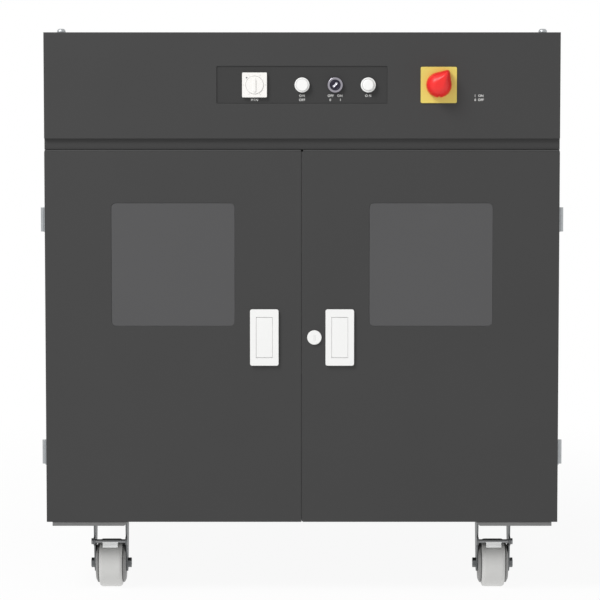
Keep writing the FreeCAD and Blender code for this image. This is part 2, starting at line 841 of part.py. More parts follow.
def make_brackets():
    outer = half - bracket_side_inset
    inner = outer - bracket_width
    brackets = []
    for start in (frame_front, frame_back - bracket_depth):
        side = [
            V(inner, start, body_bottom),
            V(outer, start, body_bottom),
            V(outer, start, body_bottom - bracket_height),
            V(inner + bracket_slant, start, body_bottom - bracket_height),
        ]
        web = box((inner, outer), (start, start + bracket_depth), (caster_plate_top, body_bottom))
        flange = polygon(side, Y * bracket_sheet)
        far = flange.translated(Y * (bracket_depth - bracket_sheet))
        bracket = fuse([web, flange, far])
        for bend in (start, start + bracket_depth):
            bracket = round_line(bracket, bracket_bend, [(Y, bend), (Z, body_bottom)])
        brackets += [bracket, mirrored(bracket)]
    save("caster_brackets", *brackets)


def tangent_point(start, centre, radius, turn):
    """Where the line from a point touches a circle in the YZ plane, on the side that turn gives."""
    offset = start - centre
    angle = math.atan2(offset.z, offset.y) + turn * math.acos(radius / offset.Length)
    return centre + V(0, radius * math.cos(angle), radius * math.sin(angle))


def fork_legs(x, front_y, back_y, top, axle):
    """Two sheet legs that taper from a top edge to a round end at the axle."""
    legs = []
    for inner in (x - fork_inner / 2 - fork_leg, x + fork_inner / 2):
        centre = V(inner, axle.y, axle.z)
        first = V(inner, front_y, top)
        last = V(inner, back_y, top)
        low_first = tangent_point(first, centre, fork_leg_end, 1)
        low_last = tangent_point(last, centre, fork_leg_end, -1)
        edges = [
            Part.LineSegment(last, first),
            Part.LineSegment(first, low_first),
            Part.Arc(low_first, centre - Z * fork_leg_end, low_last),
            Part.LineSegment(low_last, last),
        ]
        leg = Part.Face(Part.Wire([e.toShape() for e in edges])).extrude(X * fork_leg)
        hole = Part.makeCylinder(axle_radius + run_gap, fork_leg, centre, X)
        legs.append(leg.cut(hole))
    return legs


def wheel(axle):
    """A moulded wheel: crowned tread, thinner web and a hub, turned about its axle."""
    rim_inner = wheel_radius - wheel_rim
    side = wheel_width / 2
    hub_side = wheel_hub_width / 2
    web_side = wheel_web / 2
    bore = axle_radius + run_gap
    right = [
        (hub_side, bore),
        (hub_side, wheel_hub),
        (web_side, wheel_hub + web_side / 2),
        (web_side, rim_inner - web_side / 2),
        (side, rim_inner),
        (side, wheel_radius - wheel_edge),
    ]
    right = [axle + V(x, 0, r) for x, r in right]
    left = [axle + V(-(p.x - axle.x), 0, p.z - axle.z) for p in reversed(right)]
    bend = wheel_edge * (1 - math.sqrt(0.5))
    tread = side - wheel_edge
    right_bend = axle + V(side - bend, 0, wheel_radius - bend)
    left_bend = axle + V(bend - side, 0, wheel_radius - bend)
    right_tread = axle + V(tread, 0, wheel_radius)
    left_tread = axle + V(-tread, 0, wheel_radius)
    edges = [Part.LineSegment(a, b) for a, b in zip(right, right[1:])]
    edges.append(Part.Arc(right[-1], right_bend, right_tread))
    edges.append(Part.LineSegment(right_tread, left_tread))
    edges.append(Part.Arc(left_tread, left_bend, left[0]))
    edges += [Part.LineSegment(a, b) for a, b in zip(left, left[1:])]
    edges.append(Part.LineSegment(left[-1], right[0]))
    return Part.Face(Part.Wire([e.toShape() for e in edges])).revolve(axle, X, 360)


def axle_bolt(axle):
    """The bolt, nut and spacers that a wheel turns on."""
    outer = fork_inner / 2 + fork_leg
    pieces = [Part.makeCylinder(axle_radius, 2 * outer, axle - X * outer, X)]
    hub_end = wheel_hub_width / 2 + fit_gap
    for side in (-1, 1):
        turn = X * side
        pieces.append(Part.makeCylinder(axle_sleeve, fork_inner / 2 - hub_end, axle + turn * hub_end, turn))
        pieces.append(hexagon(axle_head_across, axle + turn * outer, turn * axle_head_thick, Z))
    return fuse(pieces)


def make_front_casters():
    axle = V(caster_x, front_caster_y, wheel_radius)
    lean = math.radians(brake_pivot_angle)
    rod_centre = axle + V(0, -math.sin(lean), math.cos(lean)) * (wheel_radius + brake_tread_gap)
    outer = fork_inner / 2 + fork_leg
    plate = box(
        about(caster_x, caster_plate_width),
        about(front_caster_y, caster_plate_depth),
        (caster_plate_under, caster_plate_top),
    )
    leg_y = about(front_caster_y, fork_leg_top)
    ear_reach = axle.y - rod_centre.y
    pieces = [plate]
    for leg in fork_legs(caster_x, leg_y[0], leg_y[1], caster_plate_under, axle):
        ear_centre = V(leg.BoundBox.XMin, rod_centre.y + ear_reach / 2, rod_centre.z)
        pieces.append(leg)
        pieces.append(slot(ear_reach + 2 * brake_ear, 2 * brake_ear, ear_centre, Y, X * fork_leg))
    rod_bore = Part.makeCylinder(brake_rod + run_gap, 2 * outer, rod_centre - X * outer, X)
    fork = fuse(pieces).cut(rod_bore)
    bolt = axle_bolt(axle)
    save("front_caster_forks", fork, mirrored(fork), bolt, mirrored(bolt))
    rolling = wheel(axle)
    save("front_right_wheel", rolling)
    save("front_left_wheel", mirrored(rolling))

    rod_end = outer + fit_gap
    rod = Part.makeCylinder(brake_rod, 2 * rod_end, rod_centre - X * rod_end, X)
    cap = Part.makeCylinder(brake_cap, brake_cap_thick, rod_centre + X * rod_end, X)
    pedal_y = (rod_centre.y - brake_pedal_length, rod_centre.y)
    pedal = box(about(caster_x, brake_pedal_width), pedal_y, about(rod_centre.z, brake_pedal_thick))
    pedal = round_along(pedal, brake_pedal_thick / 3, X)
    pedal.rotate(rod_centre, X, brake_pedal_drop)
    shoe_reach = brake_tread_gap - fit_gap
    shoe_lean = math.radians(brake_pivot_angle - brake_throw)
    along = V(0, math.sin(shoe_lean), -math.cos(shoe_lean))
    shoe_centre = rod_centre + along * (shoe_reach / 2) - X * (brake_shoe_width / 2)
    shoe = slot(shoe_reach, brake_shoe_thick, shoe_centre, along, X * brake_shoe_width)
    brake = fuse([rod, cap, pedal, shoe])
    save("front_right_brake", brake)
    save("front_left_brake", mirrored(brake))


def make_rear_casters():
    pivot = V(caster_x, rear_caster_y, 0)
    race_under = caster_plate_under - swivel_race_thick
    crown_top = race_under - fit_gap
    crown_under = crown_top - swivel_crown_thick
    plate = box(
        about(caster_x, caster_plate_width),
        about(rear_caster_y, caster_plate_depth),
        (caster_plate_under, caster_plate_top),
    )
    race = Part.makeCylinder(swivel_race, swivel_race_thick, pivot + Z * race_under)
    nut_top = crown_under - fit_gap
    pin = Part.makeCylinder(swivel_pin, race_under - nut_top, pivot + Z * nut_top)
    nut = hexagon(2 * swivel_nut, pivot + Z * nut_top, Z * -swivel_nut_thick, X)
    head = fuse([plate, race, pin, nut])
    save("rear_caster_plates", head, mirrored(head))

    axle = V(caster_x, rear_caster_y + swivel_trail, wheel_radius)
    leg_y = (rear_caster_y - swivel_leg_front, rear_caster_y + swivel_leg_back)
    outer = fork_inner / 2 + fork_leg
    crown = box(about(caster_x, 2 * outer), leg_y, (crown_under, crown_top))
    crown = crown.cut(Part.makeCylinder(swivel_pin + run_gap, swivel_crown_thick, pivot + Z * crown_under))
    fork = fuse([crown] + fork_legs(caster_x, leg_y[0], leg_y[1], crown_under, axle))
    bolt = axle_bolt(axle)
    save("rear_right_fork", fork, bolt)
    save("rear_left_fork", mirrored(fork), mirrored(bolt))
    rolling = wheel(axle)
    save("rear_right_wheel", rolling)
    save("rear_left_wheel", mirrored(rolling))


def make_exposure():
    x = about(0, deck_width - 2 * light_box_inset)
    y = (deck_y[0] + light_box_inset, deck_y[1] - light_box_inset)
    z = (floor_top, deck_under)
    inside = [(r[0] + light_box_wall, r[1] - light_box_wall) for r in (x, y)]
    light_box = box(x, y, z).cut(box(inside[0], inside[1], (floor_top + light_box_wall, deck_under)))
    board_z = floor_top + light_box_wall + lamp_fin_height
    board_y = about(vat_y, screen_depth - 2 * lamp_board_end)
    lamp_board_width = screen_width - 2 * lamp_board_side
    lamp = [box(about(0, lamp_board_width), board_y, (board_z, board_z + lamp_board_thick))]
    fin_step = (lamp_board_width - lamp_fin_thick) / (lamp_fin_count - 1)
    for fin in range(lamp_fin_count):
        fin_x = fin * fin_step - (lamp_board_width - lamp_fin_thick) / 2
        lamp.append(box(about(fin_x, lamp_fin_thick), board_y, (board_z - lamp_fin_height, board_z)))
    save("light_box", light_box, fuse(lamp))

    deck = box(about(0, deck_width), deck_y, (deck_under, deck_top))
    lens = [s - 2 * screen_ledge for s in (screen_width, screen_depth)]
    deck = deck.cut(box(about(0, lens[0]), about(vat_y, lens[1]), (deck_under, deck_top)))
    seat = [s + 2 * fit_gap for s in (screen_width, screen_depth)]
    screen_z = (deck_top - screen_thick, deck_top)
    deck = deck.cut(box(about(0, seat[0]), about(vat_y, seat[1]), screen_z))
    shaft_hole = Part.makeCylinder(screw_journal + hole_gap, deck_thick, V(0, screw_y, deck_under))
    save("deck_plate", deck.cut(shaft_hole))
    save("mask_screen", box(about(0, screen_width), about(vat_y, screen_depth), screen_z))


def make_vat():
    outer_y = about(vat_y, vat_depth)
    z = (deck_top, deck_top + vat_height)
    body = round_along(box(about(0, vat_width), outer_y, z), vat_corner, Z)
    grip_z = (z[1] - vat_grip_thick, z[1])
    grip = box(about(0, vat_width + 2 * vat_grip_reach), about(vat_y, vat_grip_width), grip_z)
    grip = round_along(grip, vat_grip_thick, Z)
    well_x = about(0, vat_width - 2 * vat_wall)
    well = box(well_x, about(vat_y, vat_depth - 2 * vat_wall), (z[0] + vat_film, z[1]))
    well = round_along(well, vat_corner - vat_wall, Z)
    save("vat", fuse([body, grip]).cut(well))


def make_drive():
    x = about(0, column_width)
    y = (column_y, column_y + column_depth)
    z = (deck_top, column_top)
    channel_x = (x[0] + column_wall, x[1] - column_wall)
    save("z_column", box(x, y, z).cut(box(channel_x, (y[0], y[1] - column_back), z)))

    rail_x = (column_width - column_wall) / 2
    rail_y = (column_y - rail_size, column_y)
    rail_z = (deck_top + rail_end_gap, column_top - rail_end_gap)
    save("linear_rails", *[box(about(s * rail_x, rail_size), rail_y, rail_z) for s in (-1, 1)])

    journal_low = deck_under - motor_socket + fit_gap
    thread_low = deck_top + bearing_thick + fit_gap
    thread_high = column_top - bearing_thick - fit_gap
    axis = V(0, screw_y, 0)
    journal = Part.makeCylinder(screw_journal, column_top - journal_low, axis + Z * journal_low)
    thread = Part.makeCylinder(screw_radius, thread_high - thread_low, axis + Z * thread_low)
    save("lead_screw", fuse([journal, thread]))

    blocks = []
    block_y = (column_y, column_y + column_depth - column_back)
    for low in (deck_top, column_top - bearing_thick):
        block = box(channel_x, block_y, (low, low + bearing_thick))
        blocks.append(block.cut(Part.makeCylinder(screw_journal + run_gap, bearing_thick, axis + Z * low)))
    save("screw_bearings", *blocks)

    motor = box(about(0, motor_size), about(screw_y, motor_size), (deck_under - motor_height, deck_under))
    motor = round_along(motor, motor_corner, Z)
    socket = Part.makeCylinder(screw_journal + run_gap, motor_socket, axis + Z * (deck_under - motor_socket))
    save("z_motor", motor.cut(socket))


def make_carriage():
    z = (carriage_bottom, carriage_bottom + carriage_height)
    plate_y = (carriage_face - carriage_thick, carriage_face)
    pieces = [box(about(0, carriage_width), plate_y, z)]
    rail_x = (column_width - column_wall) / 2
    block_y = (carriage_face, carriage_face + block_thick)
    groove_y = (column_y - rail_size - fit_gap, column_y)
    for side in (-1, 1):
        for block_z in ((z[0], z[0] + block_height), (z[1] - block_height, z[1])):
            block = box(about(side * rail_x, block_width), block_y, block_z)
            pieces.append(block.cut(box(about(side * rail_x, rail_size + 2 * fit_gap), groove_y, block_z)))
    nut_z = about((z[0] + z[1]) / 2, nut_height)
    nut = box(about(0, nut_size), (carriage_face, screw_y + nut_size / 2), nut_z)
    pieces.append(nut.cut(Part.makeCylinder(screw_radius + run_gap, nut_height, V(0, screw_y, nut_z[0]))))

    arm_y = (vat_y - platform_neck_depth / 2, plate_y[0])
    arm_z = (platform_top, platform_top + arm_height)
    arm = box(about(0, arm_width), arm_y, arm_z)
    inside_x = about(0, arm_width - 2 * arm_wall)
    pieces.append(arm.cut(box(inside_x, (arm_y[0] + arm_wall, arm_y[1]), (arm_z[0] + arm_wall, arm_z[1]))))
    gusset_x = arm_width / 2 - arm_wall
    gusset = [
        V(gusset_x, plate_y[0], arm_z[1]),
        V(gusset_x, plate_y[0] - gusset_reach, arm_z[1]),
        V(gusset_x, plate_y[0], z[1]),
    ]
    gusset = polygon(gusset, X * arm_wall)
    pieces += [gusset, mirrored(gusset)]
    save("z_carriage", fuse(pieces))


def make_platform():
    """The build plate, whose top slopes up to the neck so that resin runs off."""
    plate_top = platform_under + platform_thick
    plate = box(about(0, platform_width), about(vat_y, platform_depth), (platform_under, plate_top))
    rings = []
    for width, depth, z in (
        (platform_width, platform_depth, plate_top),
        (platform_neck_width, platform_neck_depth, platform_top),
    ):
        xs = about(0, width)
        ys = about(vat_y, depth)
        corners = [V(xs[0], ys[0], z), V(xs[1], ys[0], z), V(xs[1], ys[1], z), V(xs[0], ys[1], z)]
        rings.append(Part.makePolygon(corners + corners[:1]))
    save("build_platform", fuse([plate, Part.makeLoft(rings, True, True)]))


def enclosure(size, place):
    """A box of electronics on the chamber's ceiling, with cooling slots cut into its top."""
    x = (place[0], place[0] + size[0])
    y = (front + place[1], front + place[1] + size[1])
    z = (ceiling_top, ceiling_top + size[2])
    case = round_along(box(x, y, z), enclosure_corner, Z)
    case = round_at(case, enclosure_corner / 2, Z, z[1])
    step = size[0] / (cooling_slot_count + 1)
    for i in range(cooling_slot_count):
        centre = V(x[0] + (i + 1) * step, (y[0] + y[1]) / 2, z[1])
        case = case.cut(slot(size[1] / 2, cooling_slot_width, centre, Y, Z * -enclosure_corner))
    return case


def make_electronics():
    save("power_supply", enclosure(supply_size, supply_place))
    save("controller", enclosure(controller_size, controller_place))


def make_fan():
    y = (frame_back - fan_depth, frame_back)
    centre = V(fan_x, y[0], fan_z)
    casing = box(about(fan_x, fan_size), y, about(fan_z, fan_size))
    casing = round_along(casing, enclosure_corner, Y)
    casing = casing.cut(Part.makeCylinder(fan_bore, fan_depth, centre, Y))
    strut_y = (y[0], y[0] + fan_strut_thick)
    pieces = [casing, Part.makeCylinder(fan_hub, fan_strut_thick, centre, Y)]
    strut_reach = fan_bore + fan_size / 2
    pieces.append(box(about(fan_x, strut_reach), strut_y, about(fan_z, fan_strut)))
    pieces.append(box(about(fan_x, fan_strut), strut_y, about(fan_z, strut_reach)))
    pieces.append(Part.makeCylinder(fan_pin, fan_strut_thick + fan_hub_depth / 2, centre, Y))
    save("fan_housing", fuse(pieces))

    rotor_start = centre + Y * (fan_strut_thick + fit_gap)
    hub = Part.makeCylinder(fan_hub, fan_hub_depth, rotor_start, Y)
    middle = rotor_start + Y * (fan_hub_depth / 2)
    blades = []
    for i in range(fan_blade_count):
        reach = (fan_x, fan_x + fan_bore - fan_tip_gap)
        blade = box(reach, about(middle.y, fan_blade_thick), about(fan_z, fan_blade_chord))
        blade.rotate(middle, X, fan_blade_pitch)
        blade.rotate(middle, Y, 360.0 * i / fan_blade_count)
        blades.append(blade)
    rotor = fuse([hub] + blades)
    bore = Part.makeCylinder(fan_pin + run_gap, fan_hub_depth / 2, rotor_start, Y)
    save("fan_rotor", rotor.cut(bore))


def make_gland():
    seat = V(gland_x, back, gland_z)
    cap_start = seat + Y * gland_hex_thick
    cap = Part.makeCylinder(gland_cap, gland_cap_length, cap_start, Y)
    cap = round_at(cap, gland_cap_round, Y, back + rear_proud)
    neck = Part.makeCylinder(gland_neck, gland_neck_length, seat - Y * gland_neck_length, Y)
    body = fuse([hexagon(gland_hex, seat, Y * gland_hex_thick, Z), cap, neck])
    bore_length = rear_proud + gland_neck_length
    save("power_inlet", body.cut(Part.makeCylinder(gland_bore, bore_length, seat - Y * gland_neck_length, Y)))


def main():
    os.makedirs("parts", exist_ok=True)
    make_frame()
    make_sheets()
    make_back_panel()
    make_fascia()
    make_control_plate()
    make_timer()
    make_buttons()
    make_key_switch()
    make_isolator()
    make_doors()
    make_handles()
    make_lock()
    make_hinges()
    make_seals()
    make_brackets()
    make_front_casters()
    make_rear_casters()
    make_exposure()
    make_vat()
    make_drive()
    make_carriage()
    make_platform()
    make_electronics()
    make_fan()
    make_gland()


main()
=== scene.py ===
# %% [markdown]
# # Dressing a floor-standing resin printer
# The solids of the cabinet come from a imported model, and this lesson gives them their looks: a camera, a
# studio, one finish for each real material, and the small things that a solid model leaves out, such as
# screws, a thread, moulded ribs and printed marks. Every length is in metres, in the frame of the solids.

# %% Load the solids
import json
import math

import bmesh
import bpy
from mathutils import Matrix, Vector


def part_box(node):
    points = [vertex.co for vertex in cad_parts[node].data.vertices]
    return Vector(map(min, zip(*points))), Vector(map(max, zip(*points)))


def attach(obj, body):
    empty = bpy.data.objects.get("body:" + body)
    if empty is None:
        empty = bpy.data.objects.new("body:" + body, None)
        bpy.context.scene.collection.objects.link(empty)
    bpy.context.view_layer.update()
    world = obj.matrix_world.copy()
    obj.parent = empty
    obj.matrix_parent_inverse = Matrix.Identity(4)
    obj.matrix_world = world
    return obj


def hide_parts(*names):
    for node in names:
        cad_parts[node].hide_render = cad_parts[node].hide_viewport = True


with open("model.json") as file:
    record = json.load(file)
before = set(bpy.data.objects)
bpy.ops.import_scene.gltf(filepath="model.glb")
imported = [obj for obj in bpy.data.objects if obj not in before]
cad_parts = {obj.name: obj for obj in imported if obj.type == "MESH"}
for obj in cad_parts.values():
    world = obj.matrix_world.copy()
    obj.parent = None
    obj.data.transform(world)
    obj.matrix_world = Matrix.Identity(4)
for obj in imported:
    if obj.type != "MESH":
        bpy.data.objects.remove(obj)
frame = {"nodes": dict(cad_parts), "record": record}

scene = bpy.context.scene
nodes = frame["nodes"]
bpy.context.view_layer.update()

# %% [markdown]
# ## Two small helpers
# Shaders work in linear light, while colours are read off a picture as sRGB hex values, so one function turns
# the second into the first. Node trees are built in code by one other function, which adds a node, sets its
# properties, and either sets or links its inputs. It serves shader trees and geometry trees alike.

# %% Colour and node helpers
def linear(hex_colour):
    """An sRGB hex value, such as #4b4b4b, as linear RGBA."""
    parts = [int(hex_colour[i:i + 2], 16) / 255 for i in (1, 3, 5)]
    return [c / 12.92 if c <= 0.04045 else ((c + 0.055) / 1.055) ** 2.4 for c in parts] + [1.0]


def add(tree, kind, inputs=None, **settings):
    """Add one node with its settings, and set or link its inputs by name or number."""
    node = tree.nodes.new(kind)
    for name, value in settings.items():
        setattr(node, name, value)
    for name, value in (inputs or {}).items():
        if isinstance(value, bpy.types.NodeSocket):
            tree.links.new(value, node.inputs[name])
        else:
            node.inputs[name].default_value = value
    return node


print("mid grey #4b4b4b is", round(linear("#4b4b4b")[0], 4), "in linear light")

# %% [markdown]
# ## The camera
# The sides of the cabinet taper by under one percent from top to bottom, which tells how far away the camera
# stood and how little it looked down. A long lens from six metres, tilted down by 4.6 degrees, gives the same
# outline, so nothing is left to a shift or a roll.

# %% Camera
tilt_down = 4.6
camera_data = bpy.data.cameras.new("camera")
camera_data.sensor_width = 36.0
camera_data.lens = 171.0
camera_data.clip_end = 100.0
camera = bpy.data.objects.new("camera", camera_data)
camera.location = (-0.004, -6.025, 1.026)
camera.rotation_euler = (math.radians(90 - tilt_down), 0, 0)
scene.collection.objects.link(camera)
scene.camera = camera
scene.view_settings.view_transform = "Standard"
print("camera", tuple(camera.location), "lens", camera_data.lens)

# %% [markdown]
# ## The studio
# The object stands on white. A world that is plain white to the camera and to reflections, and dimmer as a
# lamp, gives the white without flooding the object with light. The floor works in a similar way: the camera
# sees mostly its own white, with enough of its lit surface left near the object to carry a soft shadow. That
# share fades out with distance, so no horizon shows. To all other rays the floor is a plain white light,
# which lifts whatever faces down, such as the lower halves of the wheels. One large soft lamp stands high at
# the front left, because the photograph's handles and red grip are brightest on that side, and from there the
# body shades the upper halves of the wheels. A weak one near the floor lifts the lower doors, and is kept out
# of the reflections in the panes.

# %% World and floor
def seen_rays(tree):
    """1 for rays that look at the background: from the camera, a reflection or a pane."""
    path = add(tree, "ShaderNodeLightPath")
    first = add(tree, "ShaderNodeMath", {0: path.outputs["Is Camera Ray"], 1: path.outputs["Is Glossy Ray"]},
                operation="MAXIMUM")
    both = add(tree, "ShaderNodeMath", {0: first.outputs[0], 1: path.outputs["Is Transmission Ray"]},
               operation="MAXIMUM")
    return both.outputs[0]


world = bpy.data.worlds.new("white_studio")
scene.world = world
world.use_nodes = True
tree = world.node_tree
tree.nodes.clear()
lamp_level = 0.46
strength = add(tree, "ShaderNodeMath", {0: seen_rays(tree), 1: 1 - lamp_level, 2: lamp_level},
               operation="MULTIPLY_ADD")
sky = add(tree, "ShaderNodeBackground", {"Color": linear("#ffffff"), "Strength": strength.outputs[0]})
add(tree, "ShaderNodeOutputWorld", {"Surface": sky.outputs[0]})

paper = bpy.data.materials.new("pale_paper_floor")
paper.use_nodes = True
tree = paper.node_tree
tree.nodes.clear()
glow = add(tree, "ShaderNodeEmission", {"Color": linear("#ffffff"), "Strength": 1.0})
matt = add(tree, "ShaderNodeBsdfDiffuse", {"Color": linear("#f8f8f8")})
coords = add(tree, "ShaderNodeTexCoord").outputs["Object"]
away = add(tree, "ShaderNodeVectorMath", {0: coords}, operation="LENGTH").outputs["Value"]
near, far, near_white, far_white = 0.8, 2.4, 0.93, 1.0
own_white = add(tree, "ShaderNodeMapRange",
                {"Value": away, 1: near, 2: far, 3: near_white, 4: far_white}).outputs[0]
light_share = 1.0
share = add(tree, "ShaderNodeMapRange", {"Value": seen_rays(tree), 3: light_share, 4: own_white})
both = add(tree, "ShaderNodeMixShader", {0: share.outputs[0], 1: matt.outputs[0], 2: glow.outputs[0]})
add(tree, "ShaderNodeOutputMaterial", {"Surface": both.outputs[0]})

floor_mesh = bpy.data.meshes.new("floor")
reach = 30.0
corners = [(-reach, -reach, 0), (reach, -reach, 0), (reach, reach, 0), (-reach, reach, 0)]
floor_mesh.from_pydata(corners, [], [(0, 1, 2, 3)])
floor_mesh.materials.append(paper)
floor = bpy.data.objects.new("floor", floor_mesh)
scene.collection.objects.link(floor)
print("floor", 2 * reach, "m wide, world lights at", lamp_level)

# %% Lamps
def soft_lamp(name, watts, size, place, aim):
    """A large area lamp that looks at a point."""
    lamp = bpy.data.lights.new(name, "AREA")
    lamp.shape = "RECTANGLE"
    lamp.size, lamp.size_y = size
    lamp.energy = watts
    stand = bpy.data.objects.new(name, lamp)
    stand.location = place
    stand.rotation_euler = (Vector(aim) - Vector(place)).to_track_quat("-Z", "Y").to_euler()
    scene.collection.objects.link(stand)
    print(name, watts, "W at", place)
    return stand


soft_lamp("key", 272.0, (2.4, 2.4), (-3.0, -3.6, 5.0), (0, 0, 0.6))
low_fill = soft_lamp("low_fill", 5.0, (3.0, 0.4), (0.0, -4.0, 0.25), (0, -0.4, 0.1))
low_fill.visible_glossy = False

# %% [markdown]
# ## What every finish shares
# A real surface is never one flat colour. Each finish here starts from the material's own colour, drifts
# slowly over a hand's breadth, has a fine grain that moves both its roughness and its relief, and rounds its
# edges: the Bevel node bends the normals near an edge, as a fold or a mould does, without touching the solid.
# Where the bent and the true normals part, an edge is found, and a little rubbing lightens it there.

# %% The shared surface
def surface(name, hex_colour, rough, grain_mm, relief_mm, edge_mm, drift=0.05, drift_mm=160.0, rub=0.0,
            stretch=(1, 1, 1), grain="ShaderNodeTexNoise", rough_swing=0.08, **fixed):
    """A Principled material in Object coordinates; fixed holds sockets that are the same all over."""
    made = bpy.data.materials.new(name)
    made.use_nodes = True
    tree = made.node_tree
    shader = tree.nodes["Principled BSDF"]
    for socket, value in fixed.items():
        shader.inputs[socket.replace("_", " ")].default_value = value
    coords = add(tree, "ShaderNodeTexCoord").outputs["Object"]
    slow = add(tree, "ShaderNodeTexNoise", {"Vector": coords, "Scale": 1000 / drift_mm, "Detail": 3.0})
    base = linear(hex_colour)
    dark = [c * (1 - drift) for c in base[:3]] + [1]
    light = [min(1.0, c * (1 + drift)) for c in base[:3]] + [1]
    colour = add(tree, "ShaderNodeMix", {0: slow.outputs[0], 6: dark, 7: light}, data_type="RGBA").outputs[2]
    turned = add(tree, "ShaderNodeMapping", {"Vector": coords, "Scale": stretch}).outputs[0]
    fine = add(tree, grain, {"Vector": turned, "Scale": 1000 / grain_mm}).outputs[0]
    swing = add(tree, "ShaderNodeMapRange",
                {"Value": fine, 3: rough - rough_swing / 2, 4: rough + rough_swing / 2})
    tree.links.new(swing.outputs[0], shader.inputs["Roughness"])
    rounded = add(tree, "ShaderNodeBevel", {"Radius": edge_mm / 1000}, samples=6).outputs[0]
    if rub:
        true = add(tree, "ShaderNodeNewGeometry").outputs["Normal"]
        agree = add(tree, "ShaderNodeVectorMath", {0: rounded, 1: true}, operation="DOT_PRODUCT")
        flat, sharp = 0.98, 0.80
        edge = add(tree, "ShaderNodeMapRange",
                   {"Value": agree.outputs["Value"], 1: flat, 2: sharp, 3: 0.0, 4: rub}).outputs[0]
        gain, lift = 1.9, 0.02
        worn = [min(1.0, c * gain + lift) for c in base[:3]] + [1]
        colour = add(tree, "ShaderNodeMix", {0: edge, 6: colour, 7: worn}, data_type="RGBA").outputs[2]
    tree.links.new(colour, shader.inputs["Base Color"])
    relief = add(tree, "ShaderNodeBump",
                 {"Height": fine, "Distance": relief_mm / 1000, "Strength": 1.0, "Normal": rounded})
    tree.links.new(relief.outputs[0], shader.inputs["Normal"])
    return made


print("finishes share one recipe of drift, grain and rounded edges")

# %% [markdown]
# ## Powder coat
# The cabinet is folded steel sheet with a polyester powder coat. The powder melts into a satin skin with a
# faint orange peel of about a millimetre, drawn at 4 mm here because finer would not show at this distance.
# Its sheen is broad and weak, so the dark grey stays even across a door. The welded frame inside has the same
# coat, a shade lighter, which only shows where a lamp reaches it.

# %% Powder coats
cabinet_paint = surface("powder_coat_dark_grey", "#3e3e3e", 0.55, 4.0, 0.035, 1.6, drift=0.04, rub=0.25,
                        Specular_IOR_Level=0.18)
frame_paint = surface("powder_coat_graphite", "#4e4e4f", 0.55, 4.0, 0.04, 2.5, drift=0.05, rub=0.3,
                      Specular_IOR_Level=0.3)
print(cabinet_paint.name, frame_paint.name)

# %% [markdown]
# ## Panes, film and screen
# The windows are cast acrylic, smoked so that stray light can't cure the resin. Acrylic has an index of 1.49
# and a polished face, so what the eye sees is mostly the white studio, reflected weakly over a dark sheet.
# Seven percent of what stands behind them shows through. The control strip is a matt polyester film, and the
# mask screen is polished glass.

# %% Panes, film and screen
window_acrylic = surface("cast_acrylic_smoked", "#4a4a4b", 0.10, 30.0, 0.01, 0.8, drift=0.03, drift_mm=220.0,
                         rough_swing=0.04, IOR=1.49, Alpha=0.93)
strip_film = surface("polyester_film_matt", "#373737", 0.62, 3.0, 0.02, 0.5, drift=0.03, Specular_IOR_Level=0.2)
screen_glass = surface("display_glass", "#0b0c10", 0.07, 25.0, 0.004, 0.6, rough_swing=0.04, IOR=1.52)
print(window_acrylic.name, strip_film.name, screen_glass.name)

# %% [markdown]
# ## Moulded plastics
# Handles, buttons, timer and lock face are white ABS, the isolator is ABS in signal red and yellow, and the
# hidden electrical pieces are black polyamide. All come out of eroded moulds, which leave a fine even grain
# and a satin gloss. The wheels are cast polyamide, a light grey that scuffs along its rims.

# %% Moulded plastics
satin = {"IOR": 1.53, "Specular_IOR_Level": 0.35}
white_abs = surface("abs_white_satin", "#eaeae9", 0.42, 2.5, 0.012, 1.0, drift=0.012, **satin)
timer_abs = surface("abs_white_warm", "#eceae7", 0.40, 2.5, 0.010, 0.8, drift=0.012, **satin)
yellow_abs = surface("abs_signal_yellow", "#dac763", 0.40, 2.5, 0.012, 0.8, drift=0.02, **satin)
red_abs = surface("abs_signal_red", "#e62826", 0.38, 2.5, 0.012, 1.0, drift=0.02, **satin)
black_polyamide = surface("polyamide_black", "#1d1d1e", 0.5, 2.0, 0.03, 1.0, drift=0.06, IOR=1.53)
wheel_polyamide = surface("polyamide_light_grey", "#cacac8", 0.45, 6.0, 0.05, 2.0, drift=0.05,
                          drift_mm=40.0, rub=0.1, **satin)
seal_rubber = surface("epdm_black", "#181818", 0.75, 1.5, 0.05, 1.2, drift=0.08, IOR=1.52)
print("moulded:", white_abs.name, timer_abs.name, yellow_abs.name, red_abs.name, wheel_polyamide.name)
